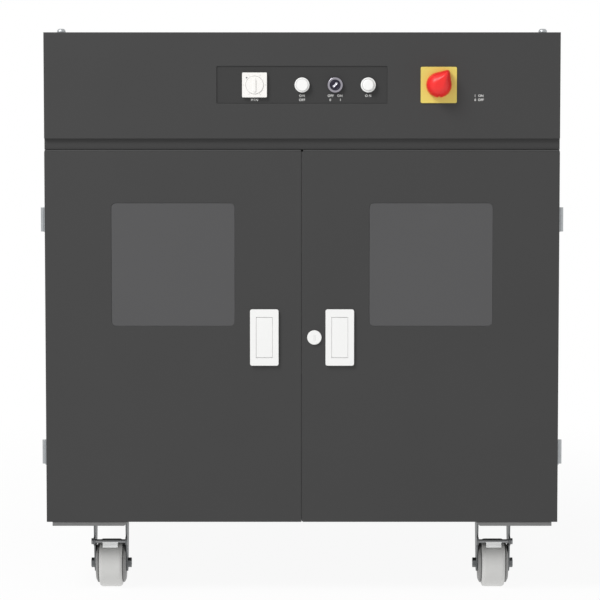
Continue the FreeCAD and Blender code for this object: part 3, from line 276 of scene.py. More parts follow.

# %% [markdown]
# ## Metals
# Brackets, casters, hinges and bolts are zinc plated: a pale grey with a faint spangle of crystals a few
# millimetres wide, which Voronoi cells give. The brackets are bent from thicker, rougher sheet with wide radii,
# and their zinc is painted darker as painted shade from the body above them; the front forks' zinc is painted
# darker too, as painted shade. The brakes' zinc is painted bright on the pedal faces, a painted highlight, and
# painted shade on the rest. The key switch has a nickel-plated ring, nearly smooth, and a barrel in black
# nickel. The vat, deck, column and platform are clear anodised aluminium with a fine matt blast, and the rails
# and screw are ground steel, whose grain is stretched along the way the wheel went.

# %% Metals
spangle = {"drift_mm": 30.0, "grain": "ShaderNodeTexVoronoi", "Metallic": 1.0}
zinc_plate = surface("zinc_plated_steel", "#a9acae", 0.36, 5.0, 0.012, 0.9, drift=0.07, rub=0.15,
                     rough_swing=0.14, **spangle)
# Painted highlight: the brakes' zinc is painted much brighter than zinc_plate, standing in for light on the
# pedal faces.
brake_zinc_painted_highlight_and_shade = surface("zinc_plated_bright", "#e6e7e7", 0.38, 5.0, 0.012, 1.2, drift=0.05, rub=0.1,
                      rough_swing=0.12, **spangle)
# Painted shade: the brackets' zinc is painted darker than zinc_plate, standing in for the shade under the
# body's overhang.
bracket_zinc_painted_shade = surface("zinc_plated_sheet_bent", "#828282", 0.42, 5.0, 0.010, 2.5, drift=0.07,
                    rough_swing=0.10, **spangle)
# Painted shade: the front forks' zinc is painted darker than zinc_plate, standing in for the shade under the
# body.
fork_zinc_painted_shade = surface("zinc_plated_dull", "#6e7071", 0.46, 5.0, 0.012, 0.9, drift=0.07,
                    rough_swing=0.10, **spangle)
black_nickel = surface("black_nickel_plate", "#35323f", 0.30, 3.0, 0.008, 0.5, drift=0.05, Metallic=1.0)
nickel_plate = surface("nickel_plated_brass", "#98959d", 0.24, 3.0, 0.008, 0.7, drift=0.04, Metallic=1.0)
anodised = surface("anodised_aluminium", "#bfc1c4", 0.34, 1.5, 0.012, 0.8, drift=0.03, Metallic=1.0)
ground_steel = surface("ground_steel", "#b4b5b8", 0.26, 1.2, 0.006, 0.6, drift=0.03, stretch=(1, 1, 0.04),
                       Metallic=1.0)
print("metals:", zinc_plate.name, nickel_plate.name, anodised.name, ground_steel.name)

# %% Brake pedals with a painted highlight, and painted shade on the rest
def rubbed_bright(made, shade, middle, half_width, height):
    """Keeps a finish bright on the pedals' faces as a painted highlight, and paints shade on the rest of the
    brake.
    """
    tree = made.node_tree
    shader = tree.nodes["Principled BSDF"]
    bright = shader.inputs["Base Color"].links[0].from_socket
    spot = add(tree, "ShaderNodeSeparateXYZ", {0: add(tree, "ShaderNodeTexCoord").outputs["Object"]})
    across = add(tree, "ShaderNodeMath", {0: spot.outputs["X"]}, operation="ABSOLUTE")
    inside = add(tree, "ShaderNodeMath", {0: across.outputs[0], 1: middle, 2: half_width}, operation="COMPARE")
    low = add(tree, "ShaderNodeMath", {0: spot.outputs["Z"], 1: height}, operation="LESS_THAN")
    foot = add(tree, "ShaderNodeMath", {0: inside.outputs[0], 1: low.outputs[0]}, operation="MULTIPLY")
    colour = add(tree, "ShaderNodeMix", {0: foot.outputs[0], 6: linear(shade), 7: bright}, data_type="RGBA")
    tree.links.new(colour.outputs[2], shader.inputs["Base Color"])


# Painted shade: outside the pedal faces the brake is painted #838485, darker than its bright zinc.
pedal_middle, pedal_half_width, pedal_top = 0.380, 0.0155, 0.0945
rubbed_bright(brake_zinc_painted_highlight_and_shade, "#838485", pedal_middle, pedal_half_width, pedal_top)
print(brake_zinc_painted_highlight_and_shade.name, "stays bright below", pedal_top, "m")

# %% [markdown]
# ## Each solid gets its finish
# The solids already have the right shape, so most of them stay and only change their material slots. A table
# from finish to solids keeps this in one place, and the count at the end shows that none was missed.

# %% Finishes on the solids
dressing = {
    cabinet_paint: "left_side_panel right_side_panel back_panel roof_panel front_fascia left_door right_door",
    frame_paint: "frame_tubes floor_pan chamber_ceiling light_box",
    window_acrylic: "left_window right_window",
    strip_film: "control_plate",
    white_abs: "button_bodies start_button_cap indicator_lens left_handle_plate left_handle_paddle "
    "right_handle_plate right_handle_paddle lock_barrel",
    timer_abs: "timer_housing timer_dial",
    yellow_abs: "isolator_plate",
    red_abs: "isolator_handle",
    black_polyamide: "isolator_body z_motor controller fan_housing fan_rotor power_inlet",
    nickel_plate: "key_switch_body",
    black_nickel: "key_barrel",
    bracket_zinc_painted_shade: "caster_brackets",
    fork_zinc_painted_shade: "front_caster_forks",
    brake_zinc_painted_highlight_and_shade: "front_left_brake front_right_brake",
    zinc_plate: "roof_bolts hinge_frame_leaves left_hinge_leaves right_hinge_leaves "
    "rear_caster_plates rear_left_fork rear_right_fork power_supply",
    wheel_polyamide: "front_left_wheel front_right_wheel rear_left_wheel rear_right_wheel",
    anodised: "deck_plate vat z_column z_carriage build_platform screw_bearings",
    ground_steel: "linear_rails lead_screw",
    screen_glass: "mask_screen",
    seal_rubber: "door_seals",
}
dressed = 0
for finish, names in dressing.items():
    for name in names.split():
        nodes[name].data.materials.clear()
        nodes[name].data.materials.append(finish)
        dressed += 1
print("dressed", dressed, "of", len(nodes), "solids")

# %% [markdown]
# ## Screw heads
# A screw head is a stack of rings: round outside, with a cross or a hexagon sunk into its top. One function
# skins such a stack, with the same number of corners on every ring so that the walls are plain quads. The
# heads are made once, facing up at the origin, and a geometry tree repeats them.

# %% Heads as stacks of rings
def ring(shape, size, height, corners=24):
    """One closed ring of points: round, hex (size is across flats) or cross."""
    points = []
    for i in range(corners):
        turn = 2 * math.pi * i / corners
        radius = size
        if shape == "hex":
            radius = size / math.cos((turn + math.pi / 6) % (math.pi / 3) - math.pi / 6)
        if shape == "cross":
            waist, lobe = 0.42, 0.58
            radius = size * (waist + lobe * abs(math.cos(2 * turn)) ** 3)
        points.append((radius * math.cos(turn), radius * math.sin(turn), height))
    return points


def stack(name, rings, hollow=False):
    """A closed mesh that joins rings in order, and caps both ends or closes on itself."""
    made = bmesh.new()
    loops = [[made.verts.new(p) for p in r] for r in rings]
    for low, high in zip(loops, loops[1:] + loops[:1] if hollow else loops[1:]):
        for i in range(len(low)):
            made.faces.new((low[i - 1], low[i], high[i], high[i - 1]))
    if not hollow:
        made.faces.new(list(reversed(loops[0])))
        made.faces.new(loops[-1])
    bmesh.ops.recalc_face_normals(made, faces=made.faces)
    mesh = bpy.data.meshes.new(name)
    made.to_mesh(mesh)
    made.free()
    return bpy.data.objects.new(name, mesh)


mm = 0.001


def lathe(name, profile, corners=24, hollow=False):
    """A stack of round rings from (radius, height) pairs in millimetres."""
    return stack(name, [ring("round", radius * mm, height * mm, corners) for radius, height in profile], hollow)


pan_head = stack("pan_head", [
    ring("round", 4.6 * mm, 0), ring("round", 4.7 * mm, 0.5 * mm), ring("round", 4.3 * mm, 1.6 * mm),
    ring("round", 3.2 * mm, 2.4 * mm), ring("cross", 2.6 * mm, 2.5 * mm), ring("cross", 1.7 * mm, 0.9 * mm),
])
flat_head = stack("flat_head", [
    ring("round", 3.3 * mm, 0), ring("round", 3.3 * mm, 0.25 * mm), ring("round", 3.0 * mm, 0.4 * mm),
    ring("cross", 1.9 * mm, 0.4 * mm), ring("cross", 1.2 * mm, 0.1 * mm),
])
cap_head = stack("cap_head", [
    ring("round", 4.2 * mm, 0), ring("round", 4.2 * mm, 2.6 * mm), ring("round", 3.8 * mm, 3.0 * mm),
    ring("hex", 2.0 * mm, 3.0 * mm), ring("hex", 2.0 * mm, 1.0 * mm),
])
hex_head = stack("hex_head", [
    ring("round", 8.6 * mm, 0), ring("round", 8.6 * mm, 1.2 * mm), ring("hex", 6.5 * mm, 1.2 * mm),
    ring("hex", 6.5 * mm, 6.0 * mm), ring("round", 6.0 * mm, 6.6 * mm), ring("round", 3.6 * mm, 6.6 * mm),
    ring("round", 3.4 * mm, 9.0 * mm),
])
print("heads:", [len(h.data.polygons) for h in (pan_head, flat_head, cap_head, hex_head)], "faces each")

# %% [markdown]
# ## A tree that sets heads on a grid
# Fasteners stand in rows, rectangles and borders, so one tree covers them all: a grid of points, of which a
# switch keeps only the border, and a head on each point with a turn of its own, since no two screws end up at
# the same angle. The seed is fixed, the instances are made real and the finish is set inside the tree,
# because an export would lose instances.

# %% Fastener tree
def inputs_of(tree, *sockets):
    """Named inputs for a geometry tree, and its one output."""
    for name, kind, value in sockets:
        socket = tree.interface.new_socket(name, in_out="INPUT", socket_type="NodeSocket" + kind)
        if value is not None:
            socket.default_value = value
    tree.interface.new_socket("Geometry", in_out="OUTPUT", socket_type="NodeSocketGeometry")
    return add(tree, "NodeGroupInput").outputs


def end_of(tree, geometry, finish):
    """Make the instances real, set the finish, and give the tree its result."""
    real = add(tree, "GeometryNodeRealizeInstances", {"Geometry": geometry})
    coated = add(tree, "GeometryNodeSetMaterial", {"Geometry": real.outputs[0], "Material": finish})
    add(tree, "NodeGroupOutput", {0: coated.outputs[0]})
    print(tree.name, "has", len(tree.nodes), "nodes")


fasteners = bpy.data.node_groups.new("fasteners_on_a_grid", "GeometryNodeTree")
given = inputs_of(fasteners, ("Head", "Object", None), ("Columns", "Int", 2), ("Rows", "Int", 2),
                  ("Width", "Float", 0.1), ("Height", "Float", 0.1), ("Border only", "Bool", False),
                  ("Seed", "Int", 1), ("Finish", "Material", None))
grid = add(fasteners, "GeometryNodeMeshGrid", {"Size X": given["Width"], "Size Y": given["Height"],
                                               "Vertices X": given["Columns"], "Vertices Y": given["Rows"]})
position = add(fasteners, "GeometryNodeInputPosition").outputs[0]
place = add(fasteners, "ShaderNodeSeparateXYZ", {0: position}).outputs
just_inside = 0.499
inner = []
for axis, size in ((0, "Width"), (1, "Height")):
    off = add(fasteners, "ShaderNodeMath", {0: place[axis]}, operation="ABSOLUTE").outputs[0]
    edge = add(fasteners, "ShaderNodeMath", {0: given[size], 1: just_inside}, operation="MULTIPLY").outputs[0]
    inner.append(add(fasteners, "ShaderNodeMath", {0: off, 1: edge}, operation="LESS_THAN").outputs[0])
inside = add(fasteners, "ShaderNodeMath", {0: inner[0], 1: inner[1]}, operation="MULTIPLY").outputs[0]
dropped = add(fasteners, "ShaderNodeMath", {0: inside, 1: given["Border only"]},
              operation="MULTIPLY").outputs[0]
kept = add(fasteners, "ShaderNodeMath", {0: 1.0, 1: dropped}, operation="SUBTRACT").outputs[0]
turn = add(fasteners, "FunctionNodeRandomValue", {2: 0.0, 3: math.tau, "Seed": given["Seed"]},
           data_type="FLOAT").outputs[1]
spin = add(fasteners, "ShaderNodeCombineXYZ", {"Z": turn}).outputs[0]
head = add(fasteners, "GeometryNodeObjectInfo", {"Object": given["Head"]}).outputs["Geometry"]
set_down = add(fasteners, "GeometryNodeInstanceOnPoints", {"Points": grid.outputs["Mesh"], "Selection": kept,
                                                           "Instance": head, "Rotation": spin})
end_of(fasteners, set_down.outputs[0], given["Finish"])


# %% Run a tree and keep its mesh
def grown(tree, **values):
    """Evaluate a geometry tree once with these inputs, and give back a plain mesh."""
    host = bpy.data.objects.new("host", bpy.data.meshes.new("host"))
    scene.collection.objects.link(host)
    modifier = host.modifiers.new("tree", "NODES")
    modifier.node_group = tree
    for item in tree.interface.items_tree:
        if item.in_out == "INPUT" and item.name.replace(" ", "_") in values:
            modifier[item.identifier] = values[item.name.replace(" ", "_")]
    mesh = bpy.data.meshes.new_from_object(host.evaluated_get(bpy.context.evaluated_depsgraph_get()))
    bpy.data.objects.remove(host)
    return mesh


def piece(name, parts, finish, body, smooth=30.0):
    """One object on one body from (mesh, place) pairs, with its place in its mesh."""
    joined = bmesh.new()
    for mesh, matrix in parts:
        copy = mesh.copy()
        copy.transform(matrix)
        joined.from_mesh(copy)
        bpy.data.meshes.remove(copy)
    mesh = bpy.data.meshes.new(name)
    joined.to_mesh(mesh)
    joined.free()
    mesh.materials.clear()
    mesh.materials.append(finish)
    for polygon in mesh.polygons:
        polygon.material_index = 0
        polygon.use_smooth = True
    mesh.set_sharp_from_angle(angle=math.radians(smooth))
    made = bpy.data.objects.new(name, mesh)
    scene.collection.objects.link(made)
    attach(made, body)
    print(name, "rides on", body, "with", len(mesh.polygons), "faces")
    return made


def facing(direction, centre):
    """The place of a flat group made facing up, turned to face a direction: -Y, +Y, +X, -X, -Z or +Z."""
    turns = {
        "-Y": Matrix.Rotation(math.pi / 2, 4, "X"),
        "+Y": Matrix.Rotation(math.pi, 4, "Z") @ Matrix.Rotation(math.pi / 2, 4, "X"),
        "+X": Matrix.Rotation(math.pi / 2, 4, "Z") @ Matrix.Rotation(math.pi / 2, 4, "X"),
        "-X": Matrix.Rotation(-math.pi / 2, 4, "Z") @ Matrix.Rotation(math.pi / 2, 4, "X"),
        "-Z": Matrix.Rotation(math.pi, 4, "X"),
        "+Z": Matrix.Identity(4),
    }
    return Matrix.Translation(centre) @ turns[direction]


# %% [markdown]
# ## Where the fasteners go
# The back panel is screwed to the frame all round, the hinge leaves have countersunk screws, the caster
# plates hang on four nuts each, the rails are bolted down at the usual 60 mm pitch, and the vat's film frame
# is clamped by a border of cap screws. Most places are worked out from the box of the solid that carries
# them. The hinges' come from the lengths of the design.

# %% Back panel and fan screws
low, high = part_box("back_panel")
margin = 0.020
back_screws = grown(fasteners, Head=pan_head, Columns=6, Rows=6, Width=high.x - low.x - 2 * margin,
                    Height=high.z - low.z - 2 * margin, Border_only=True, Seed=3, Finish=zinc_plate)
centre = Vector(((low.x + high.x) / 2, high.y, (low.z + high.z) / 2))
fan_low, fan_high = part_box("fan_housing")
fan_pitch = 0.105
fan_screws = grown(fasteners, Head=pan_head, Columns=2, Rows=2, Width=fan_pitch, Height=fan_pitch, Seed=5,
                   Finish=zinc_plate)
fan_centre = Vector(((fan_low.x + fan_high.x) / 2, high.y, (fan_low.z + fan_high.z) / 2))
piece("back_screws", [(back_screws, facing("+Y", centre)), (fan_screws, facing("+Y", fan_centre))],
      zinc_plate, "cabinet")

# %% Hinge screws
hinge_pitch, leaf, hinge_face = 0.030, 0.014, 0.502
hinge_heights = (0.281, 0.737)
hinge_line, knuckle_room = -0.4725, 0.0055
door_leaf_y = hinge_line - knuckle_room - leaf / 2
frame_leaf_y = hinge_line + knuckle_room + leaf / 2
hinge_pair = grown(fasteners, Head=flat_head, Columns=1, Rows=2, Width=0.0, Height=hinge_pitch, Seed=7,
                   Finish=zinc_plate)
frame_spots = []
for side, sign, way in (("left", -1, "-X"), ("right", 1, "+X")):
    spots = [facing(way, Vector((sign * hinge_face, door_leaf_y, z))) for z in hinge_heights]
    piece(side + "_hinge_screws", [(hinge_pair, spot) for spot in spots], zinc_plate, side + "_door")
    frame_spots += [facing(way, Vector((sign * hinge_face, frame_leaf_y, z))) for z in hinge_heights]
piece("hinge_frame_screws", [(hinge_pair, spot) for spot in frame_spots], zinc_plate, "cabinet")

# %% Rail, vat and caster fasteners
rails_low, rails_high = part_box("linear_rails")
rail_run, rail_half = 0.36, 0.0075
rail_screws = grown(fasteners, Head=flat_head, Columns=1, Rows=7, Width=0.0, Height=rail_run, Seed=9,
                    Finish=ground_steel)
rail_x = rails_high.x - rail_half
rail_mid = (rails_low.z + rails_high.z) / 2
rail_spots = [facing("-Y", Vector((s * rail_x, rails_low.y, rail_mid))) for s in (-1, 1)]
piece("rail_screws", [(rail_screws, spot) for spot in rail_spots], ground_steel, "cabinet")

vat_low, vat_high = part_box("vat")
vat_grip, rim_half, corner_room = 0.024, 0.007, 0.050
vat_reach = vat_high.x - vat_grip - rim_half
vat_depth = vat_high.y - vat_low.y - 2 * rim_half
vat_ends = grown(fasteners, Head=cap_head, Columns=8, Rows=2, Width=2 * vat_reach - corner_room,
                 Height=vat_depth, Seed=11, Finish=ground_steel)
vat_sides = grown(fasteners, Head=cap_head, Columns=2, Rows=6, Width=2 * vat_reach,
                  Height=vat_depth - corner_room, Seed=13, Finish=ground_steel)
vat_rim = facing("+Z", Vector((0, (vat_low.y + vat_high.y) / 2, vat_high.z)))
piece("vat_screws", [(vat_ends, vat_rim), (vat_sides, vat_rim)], ground_steel, "cabinet")

plates_low, plates_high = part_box("rear_caster_plates")
plate_half, plate_thick = 0.040, 0.004
nuts_across, nuts_along = 0.060, 0.070
rear_x = plates_high.x - plate_half
rear_y = (plates_low.y + plates_high.y) / 2
plate_under = plates_high.z - plate_thick
plate_nuts = grown(fasteners, Head=hex_head, Columns=2, Rows=2, Width=nuts_across, Height=nuts_along, Seed=15,
                   Finish=zinc_plate)
nut_spots = [facing("-Z", Vector((s * rear_x, rear_y, plate_under))) for s in (-1, 1)]
piece("rear_plate_nuts", [(plate_nuts, spot) for spot in nut_spots], zinc_plate, "cabinet")

# %% [markdown]
# ## The lead screw
# The screw that lifts the platform has a trapezoid thread of 10 mm lead, the same lead that couples its turn
# to the platform. A bump texture would look flat from the side, so the thread is real: a spiral curve with a
# trapezoid swept along it, round a plain core. It stays within the 8 mm radius of the solid that it stands
# for, so it still fits its nut.

# %% Thread tree
threads = bpy.data.node_groups.new("thread_round_a_screw", "GeometryNodeTree")
given = inputs_of(threads, ("Turns", "Float", 10.0), ("Length", "Float", 0.1), ("Radius", "Float", 0.007),
                  ("Root width", "Float", 0.006), ("Crest width", "Float", 0.003), ("Depth", "Float", 0.002),
                  ("Finish", "Material", None))
spiral = add(threads, "GeometryNodeCurveSpiral",
             {"Resolution": 28, "Rotations": given["Turns"], "Start Radius": given["Radius"],
              "End Radius": given["Radius"], "Height": given["Length"]})
upright = add(threads, "GeometryNodeSetCurveNormal", {"Curve": spiral.outputs[0]}, mode="Z_UP")
tooth = add(threads, "GeometryNodeCurvePrimitiveQuadrilateral",
            {"Height": given["Depth"], "Bottom Width": given["Root width"], "Top Width": given["Crest width"],
             "Offset": 0.0}, mode="TRAPEZOID")
turned = add(threads, "GeometryNodeTransform", {"Geometry": tooth.outputs[0], "Rotation": (0, 0, -math.pi / 2)})
swept = add(threads, "GeometryNodeCurveToMesh",
            {"Curve": upright.outputs[0], "Profile Curve": turned.outputs[0], "Fill Caps": True})
end_of(threads, swept.outputs[0], given["Finish"])

# %% Screw
screw_low, screw_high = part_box("lead_screw")
bearing = 0.0203
thread_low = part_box("deck_plate")[1].z + bearing
thread_high = screw_high.z - bearing
lead = 2 * math.pi / frame["record"]["behaviour"]["couplings"][0]["ratio"]
run_out = 0.003
thread_length = thread_high - thread_low - 2 * run_out
ridge = grown(threads, Turns=thread_length / lead, Length=thread_length, Radius=0.00695, Root_width=0.0068,
              Crest_width=0.0036, Depth=0.0019, Finish=ground_steel)
widest = max(math.hypot(v.co.x, v.co.y) for v in ridge.vertices)
end, journal, root = 5.2 * mm, 5.9 * mm, 6.3 * mm
end_bevel, root_bevel = 0.7 * mm, 0.4 * mm
core = stack("screw_core", [
    ring("round", end, screw_low.z), ring("round", journal, screw_low.z + end_bevel),
    ring("round", journal, thread_low), ring("round", root, thread_low + root_bevel),
    ring("round", root, thread_high - root_bevel), ring("round", journal, thread_high),
    ring("round", journal, screw_high.z - end_bevel), ring("round", end, screw_high.z),
])
screw_line = Vector((0, (screw_low.y + screw_high.y) / 2, 0))
ridge_start = screw_line + Vector((0, 0, thread_low + run_out))
screw = piece("lead_screw_threaded", [(core.data, Matrix.Translation(screw_line)),
                                      (ridge, Matrix.Translation(ridge_start))],
              ground_steel, "lead_screw")
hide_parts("lead_screw")
solid_radius = (screw_high.y - screw_low.y) / 2
print("lead", round(lead / mm, 2), "mm, thread reaches", round(widest / mm, 2), "mm of",
      round(solid_radius / mm, 2))

# %% [markdown]
# ## Around a circle
# Wheel ribs, dial ticks and the spokes of the fan guard all stand round a circle. One tree serves them: a
# line of points, moved onto the circle by their index, with the piece turned to face outwards. Ribs stiffen
# the thin web of a moulded wheel between its hub and its rim.

# %% Circle tree
circles = bpy.data.node_groups.new("pieces_round_a_circle", "GeometryNodeTree")
given = inputs_of(circles, ("Part", "Object", None), ("Count", "Int", 8), ("First", "Float", 0.0),
                  ("Step", "Float", 0.785), ("Radius", "Float", 0.02), ("Finish", "Material", None))
line = add(circles, "GeometryNodeMeshLine", {"Count": given["Count"]})
index = add(circles, "GeometryNodeInputIndex").outputs[0]
turn = add(circles, "ShaderNodeMath", {0: index, 1: given["Step"], 2: given["First"]},
           operation="MULTIPLY_ADD").outputs[0]
across = add(circles, "ShaderNodeMath", {0: turn}, operation="COSINE").outputs[0]
along = add(circles, "ShaderNodeMath", {0: turn}, operation="SINE").outputs[0]
unit = add(circles, "ShaderNodeCombineXYZ", {"X": across, "Y": along}).outputs[0]
spot = add(circles, "ShaderNodeVectorMath", {0: unit, "Scale": given["Radius"]}, operation="SCALE").outputs[0]
set_round = add(circles, "GeometryNodeSetPosition", {"Geometry": line.outputs[0], "Position": spot})
spin = add(circles, "ShaderNodeCombineXYZ", {"Z": turn}).outputs[0]
part = add(circles, "GeometryNodeObjectInfo", {"Object": given["Part"]}).outputs["Geometry"]
set_down = add(circles, "GeometryNodeInstanceOnPoints",
               {"Points": set_round.outputs[0], "Instance": part, "Rotation": spin})
end_of(circles, set_down.outputs[0], given["Finish"])


# %% Wheel ribs
def plank(length, width, low, high, taper):
    """A ring of four corners at two heights, narrower at the top: ribs, spokes, ticks, lips and gaskets."""
    half = [(-1, -1), (1, -1), (1, 1), (-1, 1)]
    levels = ((0, low), (taper, high))
    return [[(x * (length / 2 - t), y * (width / 2 - t), z) for x, y in half] for t, z in levels]


rib_count, first_rib, rib_circle = 8, 0.2, 0.0265
rib = stack("wheel_rib", plank(21 * mm, 3.2 * mm, 8 * mm, 19 * mm, 0.7 * mm))
ribs = grown(circles, Part=rib, Count=rib_count, First=first_rib, Step=math.tau / rib_count, Radius=rib_circle,
             Finish=wheel_polyamide)
for name in ("front_left", "front_right", "rear_left", "rear_right"):
    wheel_low, wheel_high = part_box(name + "_wheel")
    axle = (wheel_low + wheel_high) / 2
    piece(name + "_wheel_ribs", [(ribs, facing(way, axle)) for way in ("+X", "-X")], wheel_polyamide,
          name + "_wheel")

# %% [markdown]
# ## Thread guards
# A dished disc on each side of a caster wheel keeps threads and hair out of the axle. It fills the room
# between the wheel and its fork, and is turned from one outline, so a closed stack of rings makes it. It
# belongs to the fork and doesn't roll.

# %% Thread guards
guard_grey = surface("polyamide_mid_grey", "#8c8c8b", 0.5, 4.0, 0.03, 1.5, drift=0.05, drift_mm=40.0, IOR=1.53,
                     Specular_IOR_Level=0.3)
guard = lathe("thread_guard", ((16.5, 23.8), (38.5, 23.8), (39.5, 24.8), (39, 26.5), (33, 29.6), (16.5, 29.6)),
                          corners=64, hollow=True)
carriers = (("front", "cabinet", ("front_left", "front_right")),
            ("rear_left_swivel", "rear_left_swivel", ("rear_left",)),
            ("rear_right_swivel", "rear_right_swivel", ("rear_right",)))
for name, body, wheels in carriers:
    places = []
    for wheel in wheels:
        wheel_low, wheel_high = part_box(wheel + "_wheel")
        places += [facing(way, (wheel_low + wheel_high) / 2) for way in ("+X", "-X")]
    piece(name + "_thread_guards", [(guard.data, place) for place in places], guard_grey, body)

# %% [markdown]
# ## Paddle lips
# A moulded lip closes most of the gap above and below each handle's paddle, so that only a faint line shows.
# It sits a little behind the plate's face and belongs to the door, and the paddle turns clear of it.

# %% Paddle lips
lip_length, lip_height, lip_clear = 31.8 * mm, 0.7 * mm, 0.25 * mm
lip_back, lip_front, lip_taper = -3.0 * mm, -0.4 * mm, 0.05 * mm
lip = stack("paddle_lip", plank(lip_length, lip_height, lip_back, lip_front, lip_taper))
reach_out = lip_clear + lip_height / 2
for side in ("left", "right"):
    paddle_low, paddle_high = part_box(side + "_handle_paddle")
    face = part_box(side + "_handle_plate")[0].y
    across = (paddle_low.x + paddle_high.x) / 2
    spots = [Vector((across, face, z)) for z in (paddle_low.z - reach_out, paddle_high.z + reach_out)]
    piece(side + "_paddle_lips", [(lip.data, facing("-Y", spot)) for spot in spots], white_abs, side + "_door")

# %% [markdown]
# ## The fan guard
# A fan that blows out of the back has a guard of welded wire over it. Its rings are one circle, scaled by its
# index along a line of points, and swept with a thin round wire. Four spokes from the circle tree hold them.

# %% Fan guard
rings_tree = bpy.data.node_groups.new("wire_rings", "GeometryNodeTree")
given = inputs_of(rings_tree, ("Count", "Int", 5), ("Smallest", "Float", 0.01), ("Step", "Float", 0.01),
                  ("Wire", "Float", 0.001), ("Finish", "Material", None))
line = add(rings_tree, "GeometryNodeMeshLine", {"Count": given["Count"], "Offset": (0, 0, 0)})
index = add(rings_tree, "GeometryNodeInputIndex").outputs[0]
size = add(rings_tree, "ShaderNodeMath", {0: index, 1: given["Step"], 2: given["Smallest"]},
           operation="MULTIPLY_ADD").outputs[0]
loop = add(rings_tree, "GeometryNodeCurvePrimitiveCircle", {"Resolution": 64, "Radius": 1.0})
loops = add(rings_tree, "GeometryNodeInstanceOnPoints",
            {"Points": line.outputs[0], "Instance": loop.outputs[0], "Scale": size})
real = add(rings_tree, "GeometryNodeRealizeInstances", {"Geometry": loops.outputs[0]})
wire = add(rings_tree, "GeometryNodeCurvePrimitiveCircle", {"Resolution": 8, "Radius": given["Wire"]})
swept = add(rings_tree, "GeometryNodeCurveToMesh", {"Curve": real.outputs[0], "Profile Curve": wire.outputs[0]})
coated = add(rings_tree, "GeometryNodeSetMaterial", {"Geometry": swept.outputs[0], "Material": given["Finish"]})
add(rings_tree, "NodeGroupOutput", {0: coated.outputs[0]})
wire_radius, spoke_circle, spoke_count = 0.0011, 0.037, 4
guard_rings = grown(rings_tree, Count=6, Smallest=0.012, Step=0.0095, Wire=wire_radius, Finish=zinc_plate)
spoke = stack("guard_spoke", plank(56 * mm, 2.4 * mm, 0.8 * mm, 2.8 * mm, 0.5 * mm))
spokes = grown(circles, Part=spoke, Count=spoke_count, First=math.pi / 4, Step=math.tau / spoke_count,
               Radius=spoke_circle, Finish=zinc_plate)
guard_place = facing("+Y", fan_centre + Vector((0, wire_radius, 0)))
piece("fan_guard", [(guard_rings, guard_place), (spokes, guard_place)], zinc_plate, "cabinet")

# %% [markdown]
# ## Keyways
# Both locks turn by a key. A keyway has a thin plated rim with a spring shutter behind it, bright on the dark
# barrel of the key switch and white on the door lock. Each is a stack of slot-shaped rings that rides on its
# barrel.

# %% Keyways
def long_ring(length, width, height, corners=24):
    """A closed ring in the shape of a slot, long in X."""
    points = []
    for i in range(corners):
        turn = 2 * math.pi * (i + 0.5) / corners
        shift = math.copysign((length - width) / 2, math.cos(turn))
        points.append((shift + width / 2 * math.cos(turn), width / 2 * math.sin(turn), height))
    return points


key_x, controls_z = 0.064, 0.9985
lock_x, lock_z = 0.024, 0.508
rim = ((12.0, 3.8, -0.4), (12.0, 3.8, 0.3), (11.6, 3.4, 0.5), (10.2, 1.9, 0.5), (10.0, 1.7, 0.1))
keyway = stack("keyway", [long_ring(length * mm, width * mm, height * mm) for length, width, height in rim])
shutter_steel = surface("polished_steel", "#d5d3dc", 0.22, 2.0, 0.005, 0.3, drift=0.03, Metallic=1.0)
keyways = (
    ("key_switch_keyway", "key_barrel", "key_barrel", key_x, controls_z, 45, shutter_steel, "switch_chrome"),
    ("lock_keyway", "lock_barrel", "door_lock", lock_x, lock_z, 0, white_abs, "white_plastic"),
)
for name, node, body, x, z, lean, finish, slot in keyways:
    front = Vector((x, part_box(node)[0].y, z))
    place = facing("-Y", front) @ Matrix.Rotation(math.radians(90 - lean), 4, "Z")
    piece(name, [(keyway.data, place)], finish, body)

# %% Collar of the key switch
collar = lathe("collar", ((8.15, -0.3), (10.8, -0.3), (10.6, 0.35), (8.15, 0.15)), corners=48, hollow=True)
collar_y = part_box("key_switch_body")[0].y
piece("key_switch_collar", [(collar.data, facing("-Y", Vector((key_x, collar_y, controls_z))))], black_nickel,
      "cabinet")

# %% [markdown]
# ## The isolator handle
# The handle is a moulded grip: a circle drawn out to a point, with upright sides that roll over into a
# crowned face. A circle and a smaller one at the point have a common outline, which is found by asking, for
# each direction, which of the two reaches furthest. Rings of that outline are drawn in a little at each
# height, along a quarter of an ellipse, so light slides over the grip instead of breaking at an edge. A notch
# below marks the zero.

# %% Isolator handle
grip_lean = math.radians(34)


def drawn_out(radius, tip, tip_round, height, notch, corners=96):
    """A circle drawn out to a rounded tip along +Y, with a notch that points down once it leans."""
    points = []
    notch_degrees = 4.0
    for i in range(corners):
        turn = 2 * math.pi * i / corners
        way = Vector((math.cos(turn), math.sin(turn)))
        round_end = Vector((0, tip - tip_round))
        far = round_end + way * tip_round if (round_end.dot(way) + tip_round) > radius else way * radius
        off = math.degrees((turn - (1.5 * math.pi + grip_lean) + math.pi) % (2 * math.pi) - math.pi)
        far -= way * notch * math.exp(-(off / notch_degrees) ** 2)
        points.append((far.x, far.y, height))
    return points


